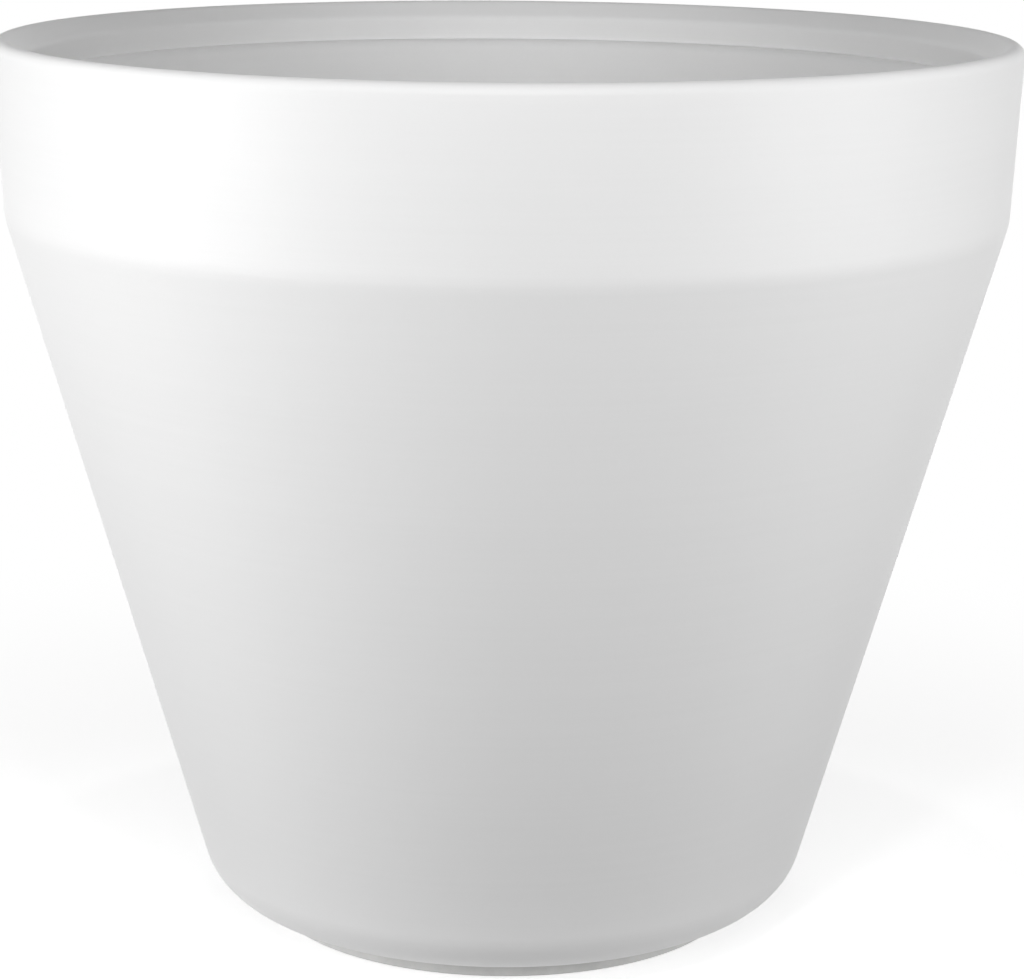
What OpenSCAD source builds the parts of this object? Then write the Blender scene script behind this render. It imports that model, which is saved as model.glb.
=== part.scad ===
// Round self-watering planter: a tapered outer pot with a collared rim, standing on a foot ring,
// and a growing pot that lifts out by two swing handles. The growing pot carries wicks, a float
// gauge and a filling tube with a hinged lid. Millimetres, Z up, and the origin is the centre of
// the foot's underside. The front is towards -Y.

/* [Outer pot] */
// Outer diameter of the rim
rim_d = 400; // [385:1:430]
// Height from the ground to the crest of the rim
pot_h = 354; // [340:1:385]
// Thickness of the lip
lip_t = 13; // [12:0.5:15]
// Radius of the round on the lip's outer edge
lip_edge_r = 4; // [3:0.25:5]
// Radius of the round on the lip's inner edge
lip_inner_r = 4; // [3:0.25:5]
// Angle at which the lip's top falls inwards
lip_slope = 42; // [30:1:50]
// Height of the collar, from the crest to its lower edge
collar_h = 68; // [58:1:76]
// How much smaller the collar's radius is at its lower edge than at the rim
collar_draft = 3.3; // [2:0.1:5]
// Radius that softens the collar's lower edge
collar_edge_r = 30; // [15:1:40]
// Diameter at which the taper of the body would meet the plane of the foot
base_d = 234; // [228:1:246]
// Radius of the round under the body
base_round = 26; // [18:1:28]
// Thickness of the outer pot's wall
wall = 5; // [4:0.25:5.5]
// Thickness of the outer pot's floor
floor_t = 5; // [4:0.5:7]
// Width of the ledge that carries the growing pot
ledge_w = 4; // [3:0.25:5]
// Thickness of that ledge at its edge
ledge_t = 4; // [3:0.5:6]

/* [Foot ring] */
// Distance of the foot's edge from the end of the round under the body
foot_inset = 2.4; // [1:0.2:6]
// Height of the foot
foot_h = 6.8; // [6:0.2:10]
// Width of the foot ring
foot_w = 10; // [8:0.5:14]
// Chamfer round the foot's lower edge
foot_chamfer = 0.8; // [0.4:0.1:1.5]
// Thickness of the rib that the foot ring is pressed on
foot_rib_t = 3; // [2:0.25:4]
// Depth of that rib
foot_rib_h = 4; // [3:0.25:4.5]

/* [Drain] */
// Diameter of the drain hole
drain_d = 22; // [16:1:26]
// Diameter of the boss round the drain hole
drain_boss_d = 34; // [32:1:40]
// Height of that boss above the floor
drain_boss_h = 7; // [4:0.5:10]
// Diameter of the plug's head
plug_head_d = 32; // [30:1:38]
// Thickness of the plug's head
plug_head_t = 3; // [2.4:0.1:3.4]
// Thickness of the sealing washer
seal_t = 1.4; // [1:0.1:1.8]
// Width of the slot across the plug's head
plug_slot_w = 3; // [2:0.25:4]
// Depth of that slot
plug_slot_deep = 1.6; // [1:0.1:2]

/* [Growing pot] */
// Depth of the growing pot's rim below the crest
liner_drop = 16.2; // [14:0.2:20]
// Thickness of the growing pot's rim
liner_rim_t = 3; // [2.5:0.25:4]
// Thickness of its wall
liner_wall = 3; // [2.5:0.25:3.5]
// Thickness of its floor
liner_floor_t = 3; // [2.5:0.25:4]
// Height of the water store under it
store_h = 72; // [64:1:80]
// Gap between its foot and the outer pot
liner_side_gap = 5; // [4:0.5:8]
// Radius of its lower corner
liner_round = 12; // [8:1:14]
// Width of its drain slots
slot_w = 4; // [3:0.5:5]
// Length of its drain slots
slot_len = 22; // [16:1:24]
// Distance of the drain slots from the middle
slot_place = 30; // [28:1:32]

/* [Handles] */
// Depth of the handle pivots below the growing pot's rim
pivot_drop = 16; // [14:0.5:20]
// Distance between the two legs of a handle
handle_w = 96; // [88:1:104]
// Length of the legs, from the pivot to the grip
handle_leg = 52; // [44:1:56]
// Diameter of the handle's bar
bar_d = 7; // [6:0.25:8]
// Diameter of the grip
grip_d = 11; // [9:0.5:12]
// Length of the grip
grip_len = 70; // [60:1:76]
// Diameter of the eyes at the ends of the legs
eye_d = 13; // [12:0.5:15]
// How much thicker the eyes are than the bar
eye_extra = 0.4; // [0.2:0.1:1.2]
// Thickness of the ears that hold the pins
ear_t = 5; // [4:0.25:6]
// Diameter of the handle pins
pin_d = 6; // [5:0.25:7]
// Diameter of the handle pins' heads
pin_head_d = 10; // [9:0.5:12]
// Thickness of the handle pins' heads
pin_head_t = 2; // [1.5:0.25:3]

/* [Wicks] */
// Diameter of the felt wicks
wick_d = 20; // [16:1:22]
// Distance of the wicks from the middle
wick_place = 64; // [60:1:68]
// Height of a wick above the growing pot's floor
wick_top = 14; // [10:1:20]
// Gap between the wicks and the outer pot's floor
wick_floor_gap = 4; // [3:0.5:6]
// Height of the collars that grip the wicks
wick_collar_h = 7; // [5:0.5:9]
// Wall of those collars
wick_collar_t = 3; // [2:0.25:4]

/* [Float gauge] */
// Gap between the gauge's flange and the round in the growing pot's corner
gauge_edge_gap = 10; // [8:0.5:14]
// Outer diameter of the gauge tube
gauge_d = 24; // [22:0.5:26]
// Wall of the gauge tube
gauge_wall = 1.5; // [1.2:0.1:2]
// Gap between the gauge tube and the outer pot's floor
gauge_floor_gap = 4; // [3:0.5:6]
// Travel of the float
float_travel = 34; // [26:1:36]
// Height of the float
float_h = 24; // [18:1:28]
// Diameter of the float's rod
rod_d = 3; // [2.5:0.25:4]
// Diameter of the float's flag
flag_d = 14; // [12:0.5:15]
// Height of the flag
flag_h = 8; // [6:0.5:10]
// Wall of the clear cap
cap_wall = 1.5; // [1.2:0.1:2]
// Depth of the cap's top below the crest of the rim
cap_drop = 16; // [12:1:24]
// Length of the gauge tube that the cap goes over
cap_grip = 12; // [8:1:16]

/* [Filling tube] */
// Gap between the filling tube's flange and the round in the growing pot's corner
filler_edge_gap = 8; // [6:0.5:12]
// Angle from the front at which the filling tube stands, to the right
filler_turn = 33; // [30:1:40]
// Outer diameter of the filling tube
filler_d = 32; // [28:1:34]
// Wall of the filling tube
filler_wall = 1.6; // [1.2:0.1:2.4]
// Depth of the filling tube's mouth below the crest of the rim
filler_drop = 36; // [30:1:42]
// Length of the filling tube below the growing pot's floor
filler_below = 12; // [8:1:20]
// Thickness of the lid
lid_t = 2.4; // [2:0.1:3]
// Overhang of the lid past the tube
lid_over = 1.5; // [1:0.25:2.5]
// Width of the lid's hinge barrel
barrel_w = 12; // [10:0.5:14]
// Diameter of the lid's hinge barrel
barrel_d = 6; // [5.5:0.25:7]
// Diameter of the lid's pin
lid_pin_d = 3; // [2.5:0.25:3.5]
// Width of the lid's finger tab
tab_w = 10; // [8:0.5:14]
// Length of the lid's finger tab
tab_len = 5; // [4:0.5:8]

/* [Flanges] */
// Width of the flange that seats each tube on the growing pot's floor
flange_w = 3.5; // [2.5:0.25:4]
// Thickness of that flange
flange_t = 3; // [2:0.25:4]

/* [Clearances] */
// Clearance round the growing pot, in its seat
seat_clear = 0.5; // [0.4:0.05:0.8]
// Height that the growing pot keeps above the ledge
seat_lift = 0.2; // [0.1:0.05:0.4]
// Radial clearance of the pins in the eyes and the barrel
running_clear = 0.06; // [0.03:0.01:0.09]
// Radial clearance of pieces that are pushed home
push_clear = 0.05; // [0.03:0.01:0.08]
// Side gap beside each turning piece
side_clear = 0.4; // [0.3:0.05:0.6]
// Clearance between a hanging handle and the wall behind it
handle_clear = 2; // [1.5:0.25:3]
// Radial clearance of the float in its tube
float_clear = 0.8; // [0.6:0.1:1]
// Radial clearance of the float's rod in its guide
rod_clear = 0.1; // [0.06:0.01:0.15]

/* [Hidden] */

$fn = 96;

// Overrun of cuts past the faces that they open
over = 1;
// Steps of the arc at the collar's lower edge
edge_steps = 6;

// Outer pot
rim_r = rim_d / 2;
base_r = base_d / 2;
land_r = rim_r - lip_t;
lip_z = pot_h - lip_edge_r;
lip_step = lip_inner_r - lip_edge_r;
lip_run = (lip_t - lip_edge_r - lip_inner_r + lip_step * sin(lip_slope)) / cos(lip_slope);
lip_inner_z = lip_z - lip_step * cos(lip_slope) - lip_run * sin(lip_slope);
lip_normal = [-sin(lip_slope), cos(lip_slope)];
lip_edge_c = [rim_r - lip_edge_r, lip_z];
lip_inner_c = [land_r + lip_inner_r, lip_inner_z];
collar_z = pot_h - collar_h;
collar_r = rim_r - collar_draft;
collar_lean = atan2(collar_draft, lip_z - collar_z);
body_lean = atan2(collar_r - base_r, collar_z - foot_h);
wall_run = wall / cos(body_lean);
floor_z = foot_h + floor_t;
foot_r = base_r - round_reach(base_round, body_lean) - foot_inset;
foot_rib_r = foot_r - foot_w / 2;
store_r = base_r + floor_t * tan(body_lean) - wall_run;

// The ledge and the haunch under it
ledge_z = pot_h - liner_drop - liner_rim_t - seat_lift;
ledge_r = land_r - ledge_w;
haunch_top_z = ledge_z - ledge_t;
collar_slope = tan(collar_lean);
haunch_z = (ledge_r + haunch_top_z - rim_r + wall_run + collar_slope * lip_z) / (1 + collar_slope);
haunch_r = ledge_r + haunch_top_z - haunch_z;

// Growing pot
liner_top_z = pot_h - liner_drop;
liner_seat_z = liner_top_z - liner_rim_t;
liner_floor_z = floor_z + store_h;
liner_deck_z = liner_floor_z + liner_floor_t;
liner_rim_r = land_r - seat_clear;
liner_top_r = ledge_r - seat_clear;
liner_base_r = wall_r(liner_floor_z) - liner_side_gap;
liner_lean = atan2(liner_top_r - liner_base_r, liner_seat_z - liner_floor_z);
liner_run = liner_wall / cos(liner_lean);
liner_deck_r = liner_r(liner_deck_z);
liner_inner_round = liner_round - liner_wall;
deck_flat_r = liner_deck_r - round_reach(liner_inner_round, liner_lean);
slot_count = 6;
slot_pitch = 360 / slot_count;

// Handles
bar_r = bar_d / 2;
eye_t = bar_d + eye_extra;
pivot_z = liner_top_z - pivot_drop;
handle_low_r = liner_r(pivot_z - handle_leg - bar_r);
leg_out = handle_w / 2 + bar_r;
pivot_x = sqrt(pow(handle_low_r, 2) - pow(leg_out, 2)) - bar_r - handle_clear;
eye_out_y = handle_w / 2 + eye_t / 2;
eye_in_y = handle_w / 2 - eye_t / 2;
ear_in_y = eye_out_y + side_clear;
ear_out_y = ear_in_y + ear_t;
ear_r = eye_d / 2;

// Wicks
wick_count = 3;
wick_pitch = 360 / wick_count;
wick_first = 90;
wick_len = liner_deck_z + wick_top - floor_z - wick_floor_gap;

// Float gauge
gauge_r = gauge_d / 2;
gauge_bore_r = gauge_r - gauge_wall;
gauge_place = deck_flat_r - gauge_edge_gap - flange_w - gauge_r;
gauge_foot_z = floor_z + gauge_floor_gap;
gauge_stop_t = 2;
gauge_stop_w = 3;
gauge_port_w = 8;
gauge_port_h = 18;
gauge_guide_t = 4;
cap_top_z = pot_h - cap_drop;
flag_room = flag_h + float_travel + 2 * side_clear;
gauge_top_z = cap_top_z - cap_wall - flag_room;
cap_r = gauge_r + push_clear + cap_wall;
cap_edge_r = 3;
float_r = gauge_bore_r - float_clear;
float_z = gauge_foot_z + gauge_stop_t + side_clear / 2;
float_socket = 10;
flag_z = gauge_top_z + side_clear;
flag_socket = 5;

// Filling tube and its lid
filler_r = filler_d / 2;
filler_place = deck_flat_r - filler_edge_gap - flange_w - filler_r;
filler_x = filler_place * sin(filler_turn);
filler_y = filler_place * cos(filler_turn);
filler_top_z = pot_h - filler_drop;
filler_foot_z = liner_floor_z - filler_below;
lid_z = filler_top_z + side_clear;
lid_r = filler_r + lid_over;
lid_pin_r = lid_pin_d / 2;
barrel_r = barrel_d / 2;
hinge_y = -filler_y + lid_r + barrel_r;
hinge_z = lid_z + lid_t - lid_t / 2;
lug_t = 3;
lug_deep = 12;
hinge_w = barrel_w + 2 * side_clear + 2 * lug_t;

// Inner radius of the outer pot's tapered wall at height z
function wall_r(z) = base_r + (z - foot_h) * tan(body_lean) - wall_run;

// Outer radius of the growing pot's wall at height z
function liner_outer_r(z) = liner_base_r + (z - liner_floor_z) * tan(liner_lean);

// Inner radius of the growing pot's wall at height z
function liner_r(z) = liner_outer_r(z) - liner_run;

// How far a round of radius r reaches along a floor from the corner it softens
function round_reach(r, lean) = r / tan((90 + lean) / 2);

// Outline of a tapered cup from the axis, along its floor and up to the end of the corner's round
function cup_foot(base, z, lean, r) = [
    [0, z],
    [base - round_reach(r, lean), z],
    [base + round_reach(r, lean) * sin(lean), z + round_reach(r, lean) * cos(lean)]
];

// Arc that softens the corner between the body and the collar, from below
function collar_edge() =
    let (reach = collar_edge_r * tan((body_lean - collar_lean) / 2))
    let (start = [collar_r + reach * sin(collar_lean), collar_z + reach * cos(collar_lean)])
    let (middle = start + collar_edge_r * [-cos(collar_lean), sin(collar_lean)])
    [for (i = [edge_steps:-1:0])
        let (a = collar_lean + (body_lean - collar_lean) * i / edge_steps)
        middle + collar_edge_r * [cos(a), -sin(a)]];

// The round in the lower corner of a cup's half section
module cup_round(base, z, lean, r) {
    translate([base - round_reach(r, lean), z + r])
        circle(r = r);
}

// A ring with a square section
module ring(outer_r, inner_r, z, h) {
    translate([0, 0, z])
        difference() {
            cylinder(r = outer_r, h = h);
            translate([0, 0, -over])
                cylinder(r = inner_r, h = h + 2 * over);
        }
}

// A rod along Y whose near end is at y
module rod_y(r, y, len) {
    translate([0, y, 0])
        rotate([-90, 0, 0])
            cylinder(r = r, h = len);
}

// A rod along X whose left end is at x
module rod_x(r, x, len) {
    translate([x, 0, 0])
        rotate([0, 90, 0])
            cylinder(r = r, h = len);
}

// Half section of the outer pot, filled to the axis
module shell_outer_section() {
    polygon(concat(
        cup_foot(base_r, foot_h, body_lean, base_round),
        collar_edge(),
        [
            [rim_r, lip_z],
            lip_edge_c + lip_edge_r * lip_normal,
            lip_inner_c + lip_inner_r * lip_normal,
            [land_r, lip_inner_z],
            [0, lip_inner_z]
        ]
    ));
    cup_round(base_r, foot_h, body_lean, base_round);
    translate(lip_edge_c)
        circle(r = lip_edge_r);
    translate(lip_inner_c)
        circle(r = lip_inner_r);
}

// Half section of the space inside the outer pot
module shell_inner_section() {
    round_r = base_round - wall;
    polygon(concat(
        cup_foot(store_r, floor_z, body_lean, round_r),
        [
            [wall_r(collar_z), collar_z],
            [haunch_r, haunch_z],
            [ledge_r, haunch_top_z],
            [ledge_r, ledge_z],
            [land_r, ledge_z],
            [land_r, pot_h + over],
            [0, pot_h + over]
        ]
    ));
    cup_round(store_r, floor_z, body_lean, round_r);
}

module planter_shell() {
    color("white")
        difference() {
            union() {
                rotate_extrude($fn = 256)
                    difference() {
                        shell_outer_section();
                        shell_inner_section();
                    }
                translate([0, 0, floor_z - over])
                    cylinder(d = drain_boss_d, h = drain_boss_h + over);
                ring(foot_rib_r + foot_rib_t / 2, foot_rib_r - foot_rib_t / 2, foot_h - foot_rib_h, foot_rib_h + over);
            }
            translate([0, 0, foot_h - over])
                cylinder(d = drain_d, h = floor_t + drain_boss_h + 2 * over);
        }
}

module foot_ring() {
    inner_r = foot_r - foot_w;
    groove_half = foot_rib_t / 2 + push_clear;
    groove_z = foot_h - foot_rib_h - side_clear;
    color("gainsboro")
        rotate_extrude($fn = 192)
            polygon([
                [inner_r, foot_chamfer],
                [inner_r + foot_chamfer, 0],
                [foot_r - foot_chamfer, 0],
                [foot_r, foot_chamfer],
                [foot_r, foot_h],
                [foot_rib_r + groove_half, foot_h],
                [foot_rib_r + groove_half, groove_z],
                [foot_rib_r - groove_half, groove_z],
                [foot_rib_r - groove_half, foot_h],
                [inner_r, foot_h]
            ]);
}

module drain_plug() {
    head_top_z = foot_h - seal_t;
    head_z = head_top_z - plug_head_t;
    slot_len_head = plug_head_d - 2 * plug_slot_w;
    color("dimgray")
        difference() {
            union() {
                translate([0, 0, head_z])
                    cylinder(d = plug_head_d, h = plug_head_t);
                translate([0, 0, head_z])
                    cylinder(r = drain_d / 2 - push_clear, h = floor_z + drain_boss_h - head_z);
            }
            translate([-slot_len_head / 2, -plug_slot_w / 2, head_z - over])
                cube([slot_len_head, plug_slot_w, plug_slot_deep + over]);
        }
}

module drain_seal() {
    color("black")
        ring(plug_head_d / 2, drain_d / 2, foot_h - seal_t, seal_t);
}

// Half section of the growing pot's outside, filled to the axis
module liner_outer_section() {
    polygon(concat(
        cup_foot(liner_base_r, liner_floor_z, liner_lean, liner_round),
        [
            [liner_top_r, liner_seat_z],
            [liner_rim_r, liner_seat_z],
            [liner_rim_r, liner_top_z],
            [0, liner_top_z]
        ]
    ));
    cup_round(liner_base_r, liner_floor_z, liner_lean, liner_round);
}

// Half section of the space inside the growing pot
module liner_inner_section() {
    polygon(concat(
        cup_foot(liner_deck_r, liner_deck_z, liner_lean, liner_inner_round),
        [[liner_r(liner_top_z + over), liner_top_z + over], [0, liner_top_z + over]]
    ));
    cup_round(liner_deck_r, liner_deck_z, liner_lean, liner_inner_round);
}

// One ear of a right-hand handle, which reaches from the pivot into the wall
module ear_block() {
    translate([pivot_x, 0, pivot_z]) {
        rod_y(ear_r, ear_in_y, ear_t);
        translate([0, ear_in_y, -ear_r])
            cube([rim_r - pivot_x, ear_t, 2 * ear_r]);
    }
}

// Runs its children at both ends of both handles
module at_handle_ends() {
    for (side = [0, 1])
        mirror([side, 0, 0])
            for (end = [0, 1])
                mirror([0, end, 0])
                    children();
}

// Runs its children at each wick
module at_wicks() {
    for (i = [0:wick_count - 1])
        rotate([0, 0, wick_first + wick_pitch * i])
            translate([wick_place, 0, 0])
                children();
}

// One drain slot with round ends
module drain_slot() {
    half = (slot_len - slot_w) / 2;
    translate([slot_place, 0, liner_floor_z - over]) {
        for (end = [-1, 1])
            translate([0, end * half, 0])
                cylinder(d = slot_w, h = liner_floor_t + 2 * over);
        translate([-slot_w / 2, -half, 0])
            cube([slot_w, 2 * half, liner_floor_t + 2 * over]);
    }
}

// A straight hole through the growing pot's floor
module floor_hole(r) {
    translate([0, 0, liner_floor_z - over])
        cylinder(r = r, h = liner_floor_t + wick_collar_h + 2 * over);
}

module liner() {
    color("whitesmoke")
        difference() {
            union() {
                rotate_extrude($fn = 192)
                    difference() {
                        liner_outer_section();
                        liner_inner_section();
                    }
                intersection() {
                    at_handle_ends()
                        ear_block();
                    rotate_extrude($fn = 192)
                        liner_outer_section();
                }
                at_wicks()
                    translate([0, 0, liner_floor_z])
                        cylinder(r = wick_d / 2 + wick_collar_t, h = liner_floor_t + wick_collar_h);
            }
            at_handle_ends()
                translate([pivot_x, 0, pivot_z])
                    rod_y(pin_d / 2 + push_clear, ear_in_y - over, ear_t + 2 * over);
            at_wicks()
                floor_hole(wick_d / 2 + push_clear);
            translate([0, -gauge_place, 0])
                floor_hole(gauge_r + push_clear);
            translate([filler_x, -filler_y, 0])
                floor_hole(filler_r + push_clear);
            for (i = [0:slot_count - 1])
                rotate([0, 0, slot_pitch * i])
                    drain_slot();
        }
}

// The right-hand swing handle, hanging from its pivot
module swing_handle() {
    translate([pivot_x, 0, pivot_z])
        difference() {
            union() {
                for (end = [0, 1])
                    mirror([0, end, 0]) {
                        rod_y(eye_d / 2, eye_in_y, eye_t);
                        translate([0, handle_w / 2, -handle_leg]) {
                            cylinder(r = bar_r, h = handle_leg);
                            sphere(r = bar_r);
                        }
                    }
                translate([0, 0, -handle_leg]) {
                    rod_y(bar_r, -handle_w / 2, handle_w);
                    rod_y(grip_d / 2, -grip_len / 2, grip_len);
                }
            }
            for (end = [0, 1])
                mirror([0, end, 0])
                    rod_y(pin_d / 2 + running_clear, eye_in_y - over, eye_t + 2 * over);
        }
}

module handle_right() {
    color("silver")
        swing_handle();
}

module handle_left() {
    color("silver")
        mirror([1, 0, 0])
            swing_handle();
}

module handle_pins() {
    head_y = eye_in_y - side_clear - pin_head_t;
    color("gray")
        at_handle_ends()
            translate([pivot_x, 0, pivot_z]) {
                rod_y(pin_head_d / 2, head_y, pin_head_t);
                rod_y(pin_d / 2, head_y, ear_out_y - head_y);
            }
}

module wicks() {
    color("tan")
        at_wicks()
            translate([0, 0, floor_z + wick_floor_gap])
                cylinder(d = wick_d, h = wick_len);
}

module gauge_tube() {
    guide_z = gauge_top_z - gauge_guide_t;
    color("white")
        translate([0, -gauge_place, 0])
            difference() {
                union() {
                    translate([0, 0, gauge_foot_z])
                        cylinder(r = gauge_r, h = gauge_top_z - gauge_foot_z);
                    translate([0, 0, liner_deck_z])
                        cylinder(r = gauge_r + flange_w, h = flange_t);
                }
                translate([0, 0, gauge_foot_z - over])
                    cylinder(r = gauge_bore_r - gauge_stop_w, h = gauge_stop_t + 2 * over);
                translate([0, 0, gauge_foot_z + gauge_stop_t])
                    cylinder(r = gauge_bore_r, h = guide_z - gauge_foot_z - gauge_stop_t);
                translate([0, 0, guide_z - over])
                    cylinder(r = rod_d / 2 + rod_clear, h = gauge_guide_t + 2 * over);
                translate([-gauge_port_w / 2, -gauge_d, gauge_foot_z + 2 * gauge_stop_t])
                    cube([gauge_port_w, 2 * gauge_d, gauge_port_h]);
            }
}

module gauge_cap() {
    skirt_z = gauge_top_z - cap_grip;
    inner_r = gauge_r + push_clear;
    color("lightcyan", 0.4)
        translate([0, -gauge_place, 0])
            difference() {
                rotate_extrude() {
                    polygon([
                        [0, skirt_z],
                        [cap_r, skirt_z],
                        [cap_r, cap_top_z - cap_edge_r],
                        [cap_r - cap_edge_r, cap_top_z],
                        [0, cap_top_z]
                    ]);
                    translate([cap_r - cap_edge_r, cap_top_z - cap_edge_r])
                        circle(r = cap_edge_r);
                }
                translate([0, 0, skirt_z - over])
                    cylinder(r = inner_r, h = cap_grip + over);
                translate([0, 0, gauge_top_z - over])
                    cylinder(r = gauge_bore_r, h = flag_room + over);
            }
}

module gauge_float() {
    color("orange")
        translate([0, -gauge_place, float_z])
            difference() {
                cylinder(r = float_r, h = float_h);
                translate([0, 0, float_h - float_socket])
                    cylinder(r = rod_d / 2 + push_clear, h = float_socket + over);
            }
}

module gauge_rod() {
    rod_z = float_z + float_h - float_socket;
    color("silver")
        translate([0, -gauge_place, rod_z])
            cylinder(d = rod_d, h = flag_z + flag_socket - rod_z);
}

module gauge_flag() {
    color("red")
        translate([0, -gauge_place, flag_z])
            difference() {
                cylinder(d = flag_d, h = flag_h);
                translate([0, 0, -over])
                    cylinder(r = rod_d / 2 + push_clear, h = flag_socket + over);
            }
}

module filler_tube() {
    bore_r = filler_r - filler_wall;
    lug_x = barrel_w / 2 + side_clear;
    color("white")
        difference() {
            union() {
                translate([filler_x, -filler_y, filler_foot_z])
                    cylinder(r = filler_r, h = filler_top_z - filler_foot_z);
                translate([filler_x, -filler_y, liner_deck_z])
                    cylinder(r = filler_r + flange_w, h = flange_t);
                for (side = [0, 1])
                    translate([filler_x, 0, 0])
                        mirror([side, 0, 0]) {
                            translate([0, hinge_y, hinge_z])
                                rod_x(barrel_r, lug_x, lug_t);
                            translate([lug_x, -filler_y, hinge_z - lug_deep])
                                cube([lug_t, hinge_y + filler_y + barrel_r, filler_top_z - hinge_z + lug_deep]);
                        }
            }
            translate([filler_x, -filler_y, filler_foot_z - over])
                cylinder(r = bore_r, h = filler_top_z - filler_foot_z + 2 * over);
            translate([filler_x, hinge_y, hinge_z])
                rod_x(lid_pin_r + push_clear, -hinge_w / 2 - over, hinge_w + 2 * over);
        }
}

module filler_lid() {
    color("gainsboro")
        difference() {
            union() {
                translate([filler_x, -filler_y, lid_z])
                    cylinder(r = lid_r, h = lid_t);
                translate([filler_x, hinge_y, hinge_z])
                    rod_x(barrel_r, -barrel_w / 2, barrel_w);
                translate([filler_x - barrel_w / 2, -filler_y, lid_z])
                    cube([barrel_w, hinge_y + filler_y, lid_t]);
                translate([filler_x - tab_w / 2, -filler_y - lid_r - tab_len, lid_z])
                    cube([tab_w, tab_len + lid_r, lid_t]);
            }
            translate([filler_x, hinge_y, hinge_z])
                rod_x(lid_pin_r + running_clear, -barrel_w / 2 - over, barrel_w + 2 * over);
        }
}

module filler_lid_pin() {
    color("silver")
        translate([filler_x, hinge_y, hinge_z])
            rod_x(lid_pin_r, -hinge_w / 2, hinge_w);
}

planter_shell();
foot_ring();
drain_plug();
drain_seal();
liner();
handle_left();
handle_right();
handle_pins();
wicks();
gauge_tube();
gauge_cap();
gauge_float();
gauge_rod();
gauge_flag();
filler_tube();
filler_lid();
filler_lid_pin();
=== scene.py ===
"""A round self-watering planter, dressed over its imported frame.

The outer pot, its foot and drain, the growing pot with its handles, wicks, float gauge and filling
tube are each a class that holds its sizes in metres, models its pieces and dresses them.
"""
import logging
import math
from collections.abc import Callable, Iterable, Iterator, Sequence
from contextlib import contextmanager
from dataclasses import dataclass, field
from enum import Enum

import bmesh
import bpy
from mathutils import Matrix, Vector


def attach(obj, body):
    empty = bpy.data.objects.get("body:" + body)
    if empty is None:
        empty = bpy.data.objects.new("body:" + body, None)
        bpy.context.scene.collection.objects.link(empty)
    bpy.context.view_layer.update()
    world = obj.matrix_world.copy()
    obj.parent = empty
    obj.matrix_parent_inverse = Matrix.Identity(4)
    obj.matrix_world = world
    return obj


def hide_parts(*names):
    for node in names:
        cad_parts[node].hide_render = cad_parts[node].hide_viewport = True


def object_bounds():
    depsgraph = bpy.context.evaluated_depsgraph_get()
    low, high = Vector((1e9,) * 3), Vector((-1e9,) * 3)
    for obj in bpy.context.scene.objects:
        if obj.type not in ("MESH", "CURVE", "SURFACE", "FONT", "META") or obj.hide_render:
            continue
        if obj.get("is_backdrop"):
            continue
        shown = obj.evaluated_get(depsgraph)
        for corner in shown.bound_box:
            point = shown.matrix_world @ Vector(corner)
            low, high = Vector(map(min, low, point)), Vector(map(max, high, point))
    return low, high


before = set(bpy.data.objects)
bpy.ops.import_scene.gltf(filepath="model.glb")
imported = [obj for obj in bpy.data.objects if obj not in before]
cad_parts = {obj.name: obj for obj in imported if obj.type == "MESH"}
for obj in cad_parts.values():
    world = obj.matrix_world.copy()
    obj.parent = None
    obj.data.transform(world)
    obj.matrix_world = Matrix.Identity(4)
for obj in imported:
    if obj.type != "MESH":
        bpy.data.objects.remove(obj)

LOG = logging.getLogger("planter")
FULL_TURN = math.tau
QUARTER_TURN = math.pi / 2
MM = 0.001
WELD = 1e-6
HAIR = 0.00001  # keeps two surfaces from lying in one another
PLAY = 0.00005  # between two fitted surfaces
OVERCUT = 0.001  # how far a cutter reaches past what it cuts
POT_STEPS = 288
TUBE_STEPS = 96
SMALL_STEPS = 64
ROD_STEPS = 48
NEEDLE_STEPS = 32
EDGE_STEPS = 2
UPRIGHT = 0.9  # the least share of an edge's length that is height, on an upright edge
BEVEL_FROM = math.radians(30)
POT_CREASE = 40.0
CREASE = 35.0

Piece = bpy.types.Object
Mesh = bmesh.types.BMesh
Point = tuple[float, float]
Spot = tuple[float, float, float]
Colour = tuple[float, float, float]
# A corner of an outline: its radius from the axis, its height and, where it is soft, its round.
Corner = tuple[float, float] | tuple[float, float, float]


class Axis(Enum):
    """The direction of a turned piece's axis, with the turn that brings an upright piece there."""

    X = (QUARTER_TURN, "Y")
    Y = (-QUARTER_TURN, "X")
    Z = (0.0, "Z")


class Cut(Enum):
    """How one solid is combined with another."""

    TAKE_AWAY = "DIFFERENCE"
    ADD = "UNION"


def grey(level: float) -> Colour:
    """Gives a grey."""
    return (level, level, level)


def arc(centre: Point, radius: float, start: float, end: float, steps: int) -> list[Corner]:
    """Lays corners with no round of their own along an arc.

    Args:
        centre: The arc's centre as (r, z).
        radius: The arc's radius.
        start: The first angle, in degrees from the outward direction.
        end: The last angle, in degrees.
        steps: The number of equal steps.

    Returns:
        The corners.
    """
    angles = [math.radians(start + (end - start) * i / steps) for i in range(steps + 1)]
    return [(centre[0] + radius * math.cos(a), centre[1] + radius * math.sin(a)) for a in angles]


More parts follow.
